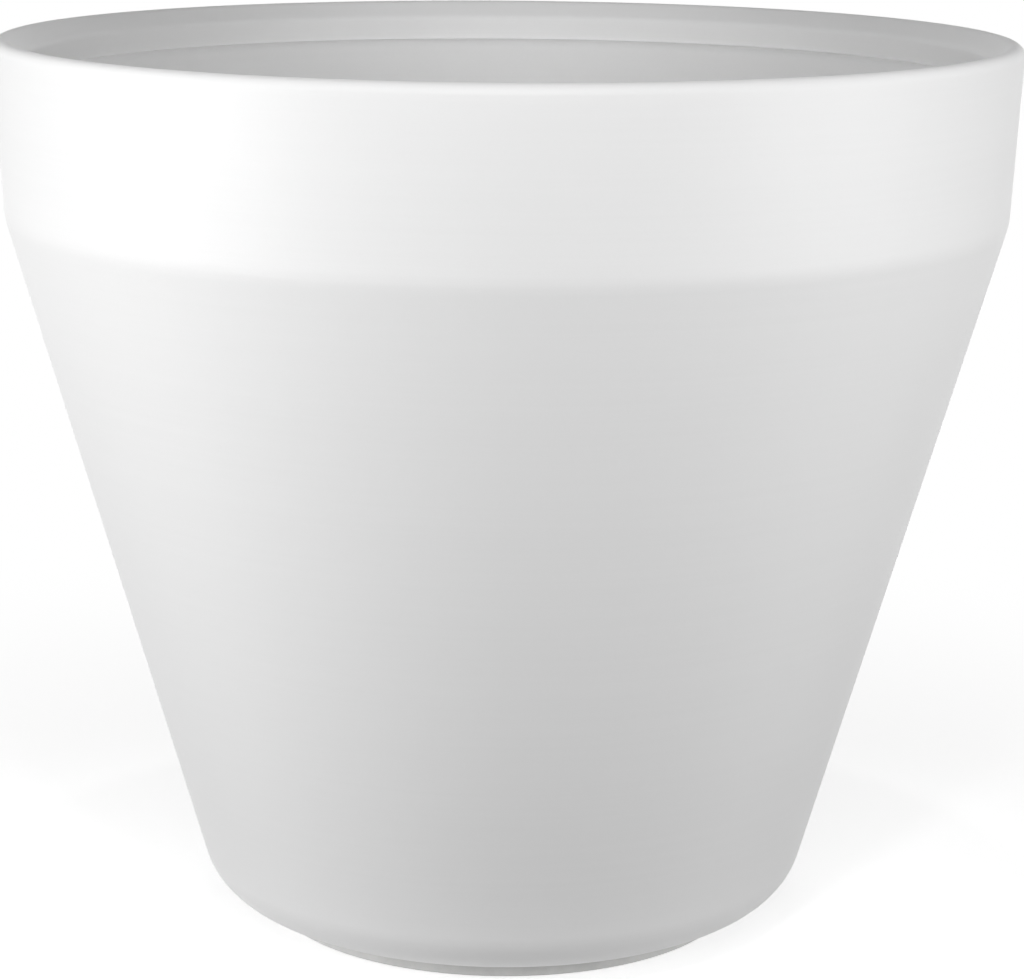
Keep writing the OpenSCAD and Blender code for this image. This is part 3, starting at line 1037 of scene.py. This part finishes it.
@dataclass
class GrowingPot(Inner):
    """The growing pot that hangs on the ledge, with its ears, wick collars, holes and slots."""

    floor_z: float = 0.0838
    base_r: float = 0.128781
    deck_r: float = 0.126355
    low_round: float = 0.012
    wall_t: float = 0.003
    seat: Point = (0.1825, 0.3348)
    rim_r: float = 0.18685
    rim_z: float = 0.3378
    mouth_r: float = 0.18007
    ear_y: Point = (0.0521, 0.0571)
    ear_r: float = 0.0065
    ear_reach: Point = (0.1674, 0.1703)
    ear_edge: float = 0.0005
    pin_r: float = 0.00305
    wick_r: float = 0.01005
    collar_r: float = 0.013
    collar_z: float = 0.0938
    gauge_r: float = 0.01205
    filler_r: float = 0.01605
    slot_place: float = 0.03
    slot_w: float = 0.004
    slot_len: float = 0.022
    slot_count: int = 6

    def bowl(self) -> Piece:
        """Turns the growing pot before its fittings.

        Returns:
            The bowl.
        """
        corners = [
            (0, self.floor_z),
            (self.base_r, self.floor_z, self.low_round),
            (*self.seat, 0.0012),
            (self.rim_r, self.seat[1], 0.0004),
            (self.rim_r, self.rim_z, 0.0003),
            (self.mouth_r, self.rim_z, 0.004),
            (self.deck_r, self.deck_z, self.low_round - self.wall_t),
            (0, self.deck_z),
        ]
        return Bench.turn("growing_pot_bowl", corners, False, 8, POT_STEPS, crease=POT_CREASE)

    def ear(self) -> Piece:
        """Models the right-hand handle's back ear, from its round eye into the wall.

        Returns:
            The ear.
        """
        x, _, z = self.pivot
        (low, high), (near, far), soft = self.ear_y, self.ear_reach, self.ear_edge
        ear = Bench.rod("ear", self.ear_r, low, high, soft, axis=Axis.Y, at=self.pivot)
        web = Bench.slab("web", (x, low, z - self.ear_r), (near, high, z + self.ear_r))
        Bench.shift(web, lambda p: p.x > x + self.ear_r and p.z > z, (far - near, 0, 0))
        Bench.bevel(web, soft, EDGE_STEPS)
        Bench.combine(ear, [web], Cut.ADD)
        return ear

    def wick_spots(self) -> list[Spot]:
        """Gives the places of the wicks."""
        turns = [math.radians(90 + 360 / self.wick_count * i) for i in range(self.wick_count)]
        return [(self.wick_place * math.cos(a), self.wick_place * math.sin(a), 0.0) for a in turns]

    def collar(self, spot: Spot) -> Piece:
        """Turns the collar that grips the wick at a spot.

        Args:
            spot: The wick's place.

        Returns:
            The collar.
        """
        sunk = self.floor_z + 0.001
        corners = [
            (0, sunk),
            (self.collar_r, sunk),
            (self.collar_r, self.collar_z, 0.0009),
            (0, self.collar_z),
        ]
        return Bench.turn("collar", corners, at=spot)

    def hole(self, spot: Spot, radius: float, top: float) -> Piece:
        """Turns the cutter of a round hole through the floor, with a small flare at its top.

        Args:
            spot: The hole's place.
            radius: The hole's radius.
            top: The height at which the hole opens.

        Returns:
            The cutter.
        """
        low, flare = self.floor_z - 2 * OVERCUT, 0.0005
        corners = [
            (0, low),
            (radius, low),
            (radius, top - flare),
            (radius + 2 * flare, top + flare),
            (0, top + flare),
        ]
        return Bench.turn("hole", corners, at=spot)

    def cutters(self) -> list[Piece]:
        """Makes the cutters of the pins' holes, the round holes and the drain slots.

        Returns:
            The cutters.
        """
        low, high = self.ear_y[0] - OVERCUT, self.ear_y[1] + OVERCUT
        drill = Bench.rod("drill", self.pin_r, low, high, axis=Axis.Y, at=self.pivot)
        holes = [self.hole(spot, self.wick_r, self.collar_z) for spot in self.wick_spots()]
        for spot, radius in ((self.gauge, self.gauge_r), (self.filler, self.filler_r)):
            holes.append(self.hole(spot, radius, self.deck_z))
        half, wide, past = self.slot_len / 2, self.slot_w / 2, 2 * OVERCUT
        slot = Bench.slab(
            "slot",
            (self.slot_place - wide, -half, self.floor_z - past),
            (self.slot_place + wide, half, self.deck_z + past),
        )
        Bench.round_upright(slot, wide - HAIR, 6)
        return [*Bench.quartered(drill), *holes, *Bench.around(slot, self.slot_count)]

    def build(self) -> list[Piece]:
        """Models the growing pot."""
        pot = self.bowl()
        added = [*Bench.quartered(self.ear()), *[self.collar(spot) for spot in self.wick_spots()]]
        Bench.combine(pot, [Bench.join("fittings", added)], Cut.ADD)
        Bench.combine(pot, [Bench.join("cutters", self.cutters())], Cut.TAKE_AWAY)
        Bench.smooth(pot, POT_CREASE)
        self.finish(pot, "growing_pot", "liner_plastic", "liner")
        return self.pieces


@dataclass
class SwingHandles(Inner):
    """The two swing handles, bent bars with a ribbed grip and two eyes each, and their pins."""

    width: float = 0.096
    leg: float = 0.052
    bar_r: float = 0.0035
    bar_end: float = 0.0045
    bend: float = 0.008
    bend_steps: int = 10
    grip_r: float = 0.0055
    grip_len: float = 0.07
    grip_end: float = 0.004
    grip_soft: float = 0.0012
    rib_count: int = 9
    rib_deep: float = 0.0007
    eye_r: float = 0.0065
    eye_t: float = 0.0074
    eye_soft: float = 0.0012
    bore_r: float = 0.00306
    bore_half: float = 0.006
    pin_r: float = 0.003
    head_r: float = 0.005
    head_y: Point = (0.0419, 0.0439)
    pin_end: float = 0.0571

    def bar(self) -> Piece:
        """Bends the handle's bar by extruding and spinning a ring of edges.

        Returns:
            The bar.
        """
        x, _, z = self.pivot
        half = self.width / 2
        drop = self.leg - self.bend - self.bar_end
        Bench.clear()
        bpy.ops.mesh.primitive_circle_add(
            vertices=NEEDLE_STEPS,
            radius=self.bar_r,
            fill_type="NOTHING",
            location=(x, -half, z - self.bar_end),
        )
        bar = Bench.named("bar")
        Bench.settle(bar)
        with Bench.editing(bar):
            Bench.extrude((0, 0, -drop))
            runs = ((-1, (0, self.width - 2 * self.bend, 0)), (1, (0, 0, drop)))
            for side, run in runs:
                centre = (x, side * (half - self.bend), z - self.leg + self.bend)
                bend = {"steps": self.bend_steps, "angle": -QUARTER_TURN}
                bpy.ops.mesh.spin(center=centre, axis=(1, 0, 0), **bend)
                Bench.extrude(run)
            Bench.weld()
            bpy.ops.mesh.fill_holes(sides=0)
            bpy.ops.mesh.normals_make_consistent(inside=False)
        return bar

    def grip(self) -> Piece:
        """Turns the grip with its finger ribs.

        Returns:
            The grip.
        """
        half, end, crest, soft = self.grip_len / 2, self.grip_end, self.grip_r, self.grip_soft
        valley = crest - self.rib_deep
        pitch = (self.grip_len - 2 * end) / self.rib_count
        rib = ((valley, 0.0, 0.0008), (crest, pitch * 0.3, soft), (crest, pitch * 0.7, soft))
        starts = [-half + end + i * pitch for i in range(self.rib_count)]
        corners = [
            (0, -half),
            (crest - 0.0004, -half, soft),
            *[(r, start + up, soften) for start in starts for r, up, soften in rib],
            (valley, half - end, 0.0008),
            (crest - 0.0004, half, soft),
            (0, half),
        ]
        place = (self.pivot[0], 0.0, self.pivot[2] - self.leg)
        return Bench.turn("grip", corners, False, 3, ROD_STEPS, Axis.Y, place)

    def handle(self) -> Piece:
        """Models the right-hand handle, hanging from its pins.

        Returns:
            The handle.
        """
        handle = self.bar()
        added, drills = [self.grip()], []
        ends, lie = (self.width / 2, -self.width / 2), {"axis": Axis.Y, "at": self.pivot}
        for y in ends:
            low, high = y - self.eye_t / 2, y + self.eye_t / 2
            eye = Bench.rod("eye", self.eye_r, low, high, self.eye_soft, 5, SMALL_STEPS, **lie)
            added.append(eye)
            low, high = y - self.bore_half, y + self.bore_half
            drills.append(Bench.rod("drill", self.bore_r, low, high, **lie))
        Bench.combine(handle, [Bench.join("grip_and_eyes", added)], Cut.ADD)
        Bench.combine(handle, [Bench.join("drills", drills)], Cut.TAKE_AWAY)
        Bench.smooth(handle)
        return handle

    def pin(self) -> Piece:
        """Turns the pin of the right-hand handle's back leg.

        Returns:
            The pin.
        """
        low, high = self.head_y
        corners = [
            (0, low),
            (self.head_r * 0.5, low, 0.002),
            (self.head_r, low + 0.0008, 0.0007),
            (self.head_r, high, 0.0003),
            (self.pin_r, high, 0.0002),
            (self.pin_r, self.pin_end, 0.0006),
            (0, self.pin_end),
        ]
        return Bench.turn("pin", corners, False, 5, ROD_STEPS, Axis.Y, self.pivot)

    def build(self) -> list[Piece]:
        """Models both handles and their four pins."""
        right = self.handle()
        right.name = right.data.name = "right_swing_handle"
        left = Bench.copy(right, Matrix.Diagonal((-1, 1, 1, 1)), "left_swing_handle")
        Bench.smooth(left)
        pins = Bench.join("handle_pivot_pins", Bench.quartered(self.pin()))
        self.finish(right, "right_handle", "handle_plastic", "handle_right")
        self.finish(left, "left_handle", "handle_plastic", "handle_left")
        self.finish(pins, "growing_pot", "pin_steel", "handle_pins")
        return self.pieces


@dataclass
class Wicks(Inner):
    """The three felt wicks, each a rolled strip that stands through the growing pot's floor."""

    radius: float = 0.01
    low: float = 0.0158
    high: float = 0.1008
    layers: int = 4

    def build(self) -> list[Piece]:
        """Models the wicks, with the rolled layers showing on top.

        Returns:
            The joined wicks.
        """
        step = self.radius / (self.layers + 0.5)
        layers = [
            corner
            for i in range(self.layers, 0, -1)
            for corner in (
                (step * (i + 0.42), self.high, 0.0004),
                (step * i, self.high - 0.0007, 0.0003),
            )
        ]
        corners = [
            (0, self.low + 0.0004),
            (self.radius * 0.7, self.low, 0.003),
            (self.radius, self.low + 0.0006, 0.0012),
            (self.radius, self.high, 0.0004),
            *layers[1:],
            (0, self.high - 0.0004),
        ]
        first = Bench.turn("felt_wicks", corners, at=(0.0, self.wick_place, 0.0))
        wicks = Bench.join("felt_wicks", Bench.around(first, self.wick_count))
        self.finish(wicks, "growing_pot", "wick_felt", "wicks")
        return self.pieces


@dataclass
class FloatGauge(Inner):
    """The water gauge: a tube with ports and level rings, its cap, and the float with its flag."""

    tube_r: float = 0.012
    bore_r: float = 0.0105
    foot_z: float = 0.0158
    top_z: float = 0.2937
    flange_r: float = 0.0155
    stop_r: float = 0.0075
    stop_t: float = 0.002
    guide_r: float = 0.0016
    guide_t: float = 0.004
    port_w: float = 0.008
    port_z: Point = (0.0198, 0.0378)
    port_reach: float = 0.02
    ring_pitch: float = 0.02
    ring_count: int = 9
    cap_r: float = 0.01355
    cap_foot: float = 0.2817
    cap_top: float = 0.338
    cap_edge: float = 0.003
    cap_room: float = 0.3365
    float_r: float = 0.0097
    float_z: Point = (0.018, 0.042)
    rod_r: float = 0.0015
    rod_z: Point = (0.032, 0.2991)
    rod_edge: float = 0.0003
    flag_r: float = 0.007
    flag_z: Point = (0.2941, 0.3021)

    def tube(self) -> Piece:
        """Turns the tube with its flange and level rings, and cuts the water ports.

        Returns:
            The tube.
        """
        guide_z, stop_z = self.top_z - self.guide_t, self.foot_z + self.stop_t
        root = self.tube_r - 0.0004
        ring = ((self.tube_r, -0.0008), (root, -0.0004), (root, 0.0004), (self.tube_r, 0.0008))
        start = self.deck_z + self.flange_t
        rings = [start + self.ring_pitch * (i + 0.5) for i in range(self.ring_count)]
        corners = [
            (self.stop_r, self.foot_z, 0.0004),
            (self.tube_r, self.foot_z, 0.0008),
            *self.flange(self.tube_r, self.flange_r, 0.001),
            *[(r, z + up, 0.0001) for z in rings for r, up in ring],
            (self.tube_r, self.top_z, 0.0005),
            (self.guide_r, self.top_z, 0.0003),
            (self.guide_r, guide_z, 0.0003),
            (self.bore_r, guide_z, 0.0005),
            (self.bore_r, stop_z, 0.0004),
            (self.stop_r, stop_z, 0.0003),
        ]
        tube = Bench.turn("gauge_level_tube", corners, True, 3, at=self.gauge)
        wide, y = self.port_w / 2, self.gauge[1]
        low = (-wide, y - self.port_reach, self.port_z[0])
        port = Bench.slab("port", low, (wide, y + self.port_reach, self.port_z[1]))
        Bench.combine(tube, [port], Cut.TAKE_AWAY)
        Bench.smooth(tube)
        return tube

    def cap(self) -> Piece:
        """Turns the clear cap over the tube's top.

        Returns:
            The cap.
        """
        sleeve = self.tube_r + PLAY
        corners = [
            (0, self.cap_top),
            (self.cap_r, self.cap_top, self.cap_edge),
            (self.cap_r, self.cap_foot, 0.0005),
            (sleeve, self.cap_foot, 0.0004),
            (sleeve, self.top_z, 0.0003),
            (self.bore_r, self.top_z, 0.0003),
            (self.bore_r, self.cap_room, 0.0015),
            (0, self.cap_room),
        ]
        return Bench.turn("gauge_clear_cap", corners, False, 6, TUBE_STEPS, at=self.gauge)

    def block(self) -> Piece:
        """Turns the foam float, with the hole that takes the rod.

        Returns:
            The float.
        """
        (low, high), hole, end = self.float_z, self.rod_r + PLAY, self.rod_z[0]
        corners = [
            (0, low),
            (self.float_r, low, 0.0018),
            (self.float_r, high, 0.0018),
            (hole, high, 0.0003),
            (hole, end),
            (0, end),
        ]
        return Bench.turn("gauge_foam_float", corners, False, 5, at=self.gauge)

    def rod(self) -> Piece:
        """Turns the rod that the float carries."""
        sizes = (self.rod_r, *self.rod_z, self.rod_edge)
        return Bench.rod("gauge_float_rod", *sizes, steps=NEEDLE_STEPS, at=self.gauge)

    def flag(self) -> Piece:
        """Turns the red flag, a small hat on the rod's end.

        Returns:
            The flag.
        """
        (low, high), hole, end = self.flag_z, self.rod_r + PLAY, self.rod_z[1] + 2 * PLAY
        corners = [
            (0, end),
            (hole, end),
            (hole, low, 0.0003),
            (self.flag_r, low, 0.0008),
            (self.flag_r, high - 0.0008, 0.001),
            (self.flag_r - 0.0025, high, 0.003),
            (0, high),
        ]
        return Bench.turn("gauge_red_flag", corners, False, 5, at=self.gauge)

    def build(self) -> list[Piece]:
        """Models the gauge."""
        self.finish(self.tube(), "growing_pot", "tube_plastic", "gauge_tube")
        self.finish(self.cap(), "growing_pot", "clear_plastic", "gauge_cap")
        self.finish(self.block(), "float", "float_foam", "gauge_float")
        self.finish(self.rod(), "float", "pin_steel", "gauge_rod")
        self.finish(self.flag(), "float", "flag_plastic", "gauge_flag")
        return self.pieces


@dataclass
class Filler(Inner):
    """The filling tube with its hinge lugs, and the lid that swings on a steel pin."""

    tube_r: float = 0.016
    bore_r: float = 0.0144
    foot_z: float = 0.0718
    top_z: float = 0.318
    flange_r: float = 0.0195
    hinge: Point = (-0.056303, 0.3196)
    lug_x: Point = (0.0064, 0.0094)
    lug_low: float = 0.3076
    lug_edge: float = 0.0004
    lug_lean: float = 0.004
    barrel_r: float = 0.003
    barrel_half: float = 0.006
    pin_r: float = 0.0015
    pin_edge: float = 0.0003
    pin_steps: int = 40
    drill_half: float = 0.012
    lid_r: float = 0.0175
    lid_z: Point = (0.3184, 0.3208)
    lid_play: float = 0.00006
    lid_soft: float = 0.0006
    web_half: float = 0.0059
    web_root: float = 0.014
    web_edge: float = 0.0003
    tab_w: float = 0.01
    tab_len: float = 0.005
    tab_root: float = 0.015
    tab_round: float = 0.0022
    tab_edge: float = 0.0005
    groove_count: int = 3
    groove_start: float = 0.0014
    groove_pitch: float = 0.0013
    groove_w: float = 0.0006
    groove_half: float = 0.0035
    groove_deep: float = 0.0004

    def on_hinge(self, name: str, radius: float, ends: Point, soften: float = 0.0) -> Piece:
        """Turns a rod along the hinge's axis.

        Args:
            name: The rod's name.
            radius: Its radius.
            ends: The distances of its two ends from the tube's middle plane.
            soften: The round of its edges.

        Returns:
            The rod.
        """
        place = (self.filler[0], *self.hinge)
        return Bench.rod(name, radius, *ends, soften, 3, self.pin_steps, Axis.X, place)

    def pin_hole(self, play: float) -> Piece:
        """Turns the cutter of the pin's hole."""
        return self.on_hinge("pin_hole", self.pin_r + play, (-self.drill_half, self.drill_half))

    def lug(self, side: int) -> list[Piece]:
        """Models one hinge lug.

        Args:
            side: 1 for the right-hand lug, -1 for the left-hand one.

        Returns:
            The lug's eye and web.
        """
        near, far = sorted(side * x for x in self.lug_x)
        eye = self.on_hinge("lug_eye", self.barrel_r, (near, far), self.lug_edge)
        x, y, _ = self.filler
        back = self.hinge[0]
        low = (x + near, y + self.bore_r - self.lug_lean, self.lug_low)
        web = Bench.slab("lug_web", low, (x + far, back + self.barrel_r, self.top_z))
        Bench.shift(web, lambda p: p.y > back and p.z < self.lug_low + MM, (0, -self.lug_lean, 0))
        Bench.bevel(web, self.lug_edge, EDGE_STEPS)
        return [eye, web]

    def tube(self) -> Piece:
        """Turns the tube with its flange, adds the lugs and opens the bore and the pin's holes.

        Returns:
            The tube.
        """
        corners = [
            (self.bore_r, self.foot_z, 0.0004),
            (self.tube_r, self.foot_z, 0.0006),
            *self.flange(self.tube_r, self.flange_r, 0.0012),
            (self.tube_r, self.top_z, 0.0007),
            (self.bore_r, self.top_z, 0.0007),
        ]
        tube = Bench.turn("filler_water_tube", corners, True, 5, TUBE_STEPS, at=self.filler)
        Bench.combine(tube, [*self.lug(1), *self.lug(-1)], Cut.ADD)
        low, high, radius = self.foot_z + 0.01, self.top_z + OVERCUT, self.bore_r - HAIR
        drill = Bench.rod("bore", radius, low, high, steps=TUBE_STEPS, at=self.filler)
        Bench.combine(tube, [drill, self.pin_hole(PLAY)], Cut.TAKE_AWAY)
        Bench.smooth(tube)
        return tube

    def tab(self) -> list[Piece]:
        """Models the lid's finger tab.

        Returns:
            The tab, and the cutters of the grooves across it.
        """
        (x, y, _), (low, high) = self.filler, self.lid_z
        end, wide, reach = y - self.lid_r - self.tab_len, self.tab_w / 2, self.groove_half
        tab = Bench.slab("tab", (x - wide, end, low), (x + wide, y - self.tab_root, high))
        Bench.round_upright(tab, self.tab_round, 5)
        Bench.bevel(tab, self.tab_edge, EDGE_STEPS)
        grooves = []
        for i in range(self.groove_count):
            near = end + self.groove_start + i * self.groove_pitch
            start = (x - reach, near, high - self.groove_deep)
            far = (x + reach, near + self.groove_w, high + OVERCUT)
            grooves.append(Bench.slab("groove", start, far))
        return [tab, *grooves]

    def lid(self) -> Piece:
        """Models the lid with its barrel, its finger tab and a shallow ring on top.

        Returns:
            The lid.
        """
        (x, y, _), (low, high), wide = self.filler, self.lid_z, self.web_half
        soft = self.lid_soft
        dip = high - soft
        corners = [
            (0, low),
            (self.lid_r, low, 0.0005),
            (self.lid_r, high, 0.001),
            (self.lid_r - 0.0035, high, soft),
            (self.lid_r - 0.0043, dip, soft),
            (self.lid_r - 0.006, dip, soft),
            (self.lid_r - 0.0068, high, soft),
            (0, high),
        ]
        lid = Bench.turn("filler_hinged_lid", corners, False, 4, TUBE_STEPS, at=self.filler)
        start, end = (x - wide, y + self.web_root, low), (x + wide, self.hinge[0], high)
        web = Bench.slab("web", start, end, self.web_edge)
        tab, *grooves = self.tab()
        ends = (-self.barrel_half, self.barrel_half)
        barrel = self.on_hinge("barrel", self.barrel_r, ends, self.lug_edge)
        Bench.combine(lid, [web, tab, barrel], Cut.ADD)
        Bench.combine(lid, [*grooves, self.pin_hole(self.lid_play)], Cut.TAKE_AWAY)
        Bench.smooth(lid)
        return lid

    def build(self) -> list[Piece]:
        """Models the filling tube, its lid and the lid's pin."""
        self.finish(self.tube(), "growing_pot", "tube_plastic", "filler_tube")
        self.finish(self.lid(), "filler_lid", "lid_plastic", "filler_lid")
        far = self.lug_x[1]
        pin = self.on_hinge("filler_hinge_pin", self.pin_r, (-far, far), self.pin_edge)
        self.finish(pin, "growing_pot", "pin_steel", "filler_lid_pin")
        return self.pieces


@dataclass(frozen=True)
class Lamp:
    """A soft lamp.

    Attributes:
        name: The lamp's name.
        turn: Its direction from the pot, in degrees to the right of the front.
        distance: Its distance from the pot's axis.
        height: The height of its middle.
        size: Its width and height.
        power: Its power in watts.
        aim: The height that it points at.
        beam: The angle of its beam in degrees, or 0 for a flat lamp.
        edge: The share of the beam that is soft.
    """

    name: str
    turn: float
    distance: float
    height: float
    size: Point
    power: float
    aim: float = 0.25
    beam: float = 0.0
    edge: float = 0.6

    def place(self) -> None:
        """Sets the lamp up, out of the reflections if it stands behind the pot."""
        a = math.radians(self.turn)
        spot = Vector((self.distance * math.sin(a), -self.distance * math.cos(a), self.height))
        Bench.clear()
        bpy.ops.object.light_add(type="SPOT" if self.beam else "AREA", location=spot)
        lamp = bpy.context.object
        lamp.name = self.name
        aim = Vector((0, 0, self.aim)) - spot
        lamp.rotation_euler = aim.to_track_quat("-Z", "Y").to_euler()
        lamp.visible_glossy = abs(a) < QUARTER_TURN
        lamp.data.energy = self.power
        if self.beam:
            lamp.data.spot_size = math.radians(self.beam)
            lamp.data.spot_blend = self.edge
            lamp.data.shadow_soft_size = self.size[0]
        else:
            lamp.data.shape = "RECTANGLE"
            lamp.data.size, lamp.data.size_y = self.size


@dataclass
class Studio:
    """The pale floor, the soft lamps, the white surroundings and the camera.

    Attributes:
        eye: The camera's place.
        dip: How far the camera looks down, in degrees.
        roll: Its roll, in degrees.
        lens: Its focal length in millimetres.
        sensor: Its sensor's width in millimetres.
        ambient: The level of the light from the surroundings.
        floor_size: The floor's width.
        floor_tone: The grey of the floor by the pot, where it shows the shadow.
        fade: The distances over which that grey fades to plain white.
        bounce: The greys that light meets under the pot and further out.
        bright: The distances over which the first of them fades to the second.
        lamps: The lamps.
    """

    eye: Spot = (0.0028, -1.24, 0.4524)
    dip: float = 12.752
    roll: float = 0.446
    lens: float = 110.59
    sensor: float = 36.0
    ambient: float = 0.115
    floor_size: float = 12.0
    floor_tone: float = 0.62
    fade: Point = (0.1, 0.62)
    bounce: Point = (0.8, 0.13)
    bright: Point = (0.107, 0.152)
    lamps: tuple[Lamp, ...] = (
        Lamp("left_lamp", -62, 0.9, 0.28, (0.6, 0.52), 4.95),
        Lamp("right_lamp", 62, 0.9, 0.28, (0.6, 0.52), 3.6),
        Lamp("front_lamp", 0, 1.1, 0.62, (0.5, 0.25), 3.1, 0.3),
        Lamp("mouth_lamp", 0, 1.3, 0.62, (0.05, 0.05), 11.5, 0.49, 15.0),
        Lamp("lip_lamp", 0, 0.9, 1.2, (0.05, 0.05), 10.0, 0.112, 24.0),
        Lamp("back_left_lamp", -155, 1.5, 0.3, (0.8, 0.5), 5.5),
        Lamp("back_right_lamp", 155, 1.5, 0.3, (0.8, 0.5), 5.5),
        Lamp("upper_lamp", 0, 0.0, 1.6, (0.12, 0.12), 36.0, 0.1, 15.0),
    )

    def camera(self) -> None:
        """Sets the camera at the photograph's viewing angle."""
        Bench.clear()
        bpy.ops.object.camera_add()
        camera = bpy.context.object
        camera.name = "studio_camera"
        dip, roll = math.radians(self.dip), math.radians(self.roll)
        forward = Vector((0, math.cos(dip), -math.sin(dip)))
        level, up = Vector((1, 0, 0)), Vector((0, math.sin(dip), math.cos(dip)))
        right = math.cos(roll) * level + math.sin(roll) * up
        top = -math.sin(roll) * level + math.cos(roll) * up
        turned = Matrix((right, top, -forward)).transposed().to_4x4()
        camera.matrix_world = Matrix.Translation(self.eye) @ turned
        camera.data.sensor_width = self.sensor
        camera.data.lens = self.lens
        bpy.context.scene.camera = camera

    def floor(self) -> None:
        """Lays the floor, which shows white to the camera and keeps the pot's shadow."""
        Bench.clear()
        bpy.ops.mesh.primitive_plane_add(size=self.floor_size, location=(0, 0, -0.0001))
        floor = Bench.named("studio_floor")
        graph = Graph(bpy.data.materials.new("studio_floor"))
        length = {"operation": "LENGTH"}
        away = graph.node("ShaderNodeVectorMath", length, [graph.place()], "Value")
        edge = away.spread(*self.fade)
        graph.set(
            Base_Color=graph.blend(edge, grey(self.floor_tone), grey(0.0)),
            Roughness=1.0,
            Specular_IOR_Level=0.0,
            Emission_Color=graph.blend(edge, grey(self.floor_tone), grey(1.0)),
            Emission_Strength=1.0,
        )
        near, far = self.bounce
        tone = graph.blend(away.spread(*self.bright), grey(near), grey(far))
        plain = graph.node("ShaderNodeBsdfDiffuse", {}, {"Color": tone})
        graph.show(plain, Value(graph, graph.shader.outputs[0]), "Material Output")
        floor.data.materials.append(graph.owner)
        floor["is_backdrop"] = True

    def surroundings(self) -> None:
        """Makes the world white to the camera and plain grey as a light."""
        world = bpy.data.worlds.new("studio_world")
        bpy.context.scene.world = world
        graph = Graph(world)
        light, white = [
            graph.node("ShaderNodeBackground", {}, {"Color": grey(level), "Strength": 1.0})
            for level in (self.ambient, 1.0)
        ]
        graph.show(light, white, "World Output")

    def build(self) -> None:
        """Sets up the whole studio."""
        self.camera()
        self.floor()
        self.surroundings()
        for lamp in self.lamps:
            lamp.place()
        bpy.context.scene.view_settings.view_transform = "Standard"


def main() -> None:
    """Builds the studio and the planter, and measures the boxes before and after."""
    logging.basicConfig(level=logging.INFO, format="%(name)s: %(message)s")
    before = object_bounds()
    Studio().build()
    palette = Palette()
    for kind in (OuterPot, Drain, GrowingPot, SwingHandles, Wicks, FloatGauge, Filler):
        for piece in kind(palette).build():
            LOG.info("%s: %s, %d faces", kind.__name__, piece.name, len(piece.data.polygons))
    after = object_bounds()
    boxes = {"cad": before, "visual": after}
    sizes = {name: [list(corner) for corner in box] for name, box in boxes.items()}


if __name__ == "__main__":
    main()
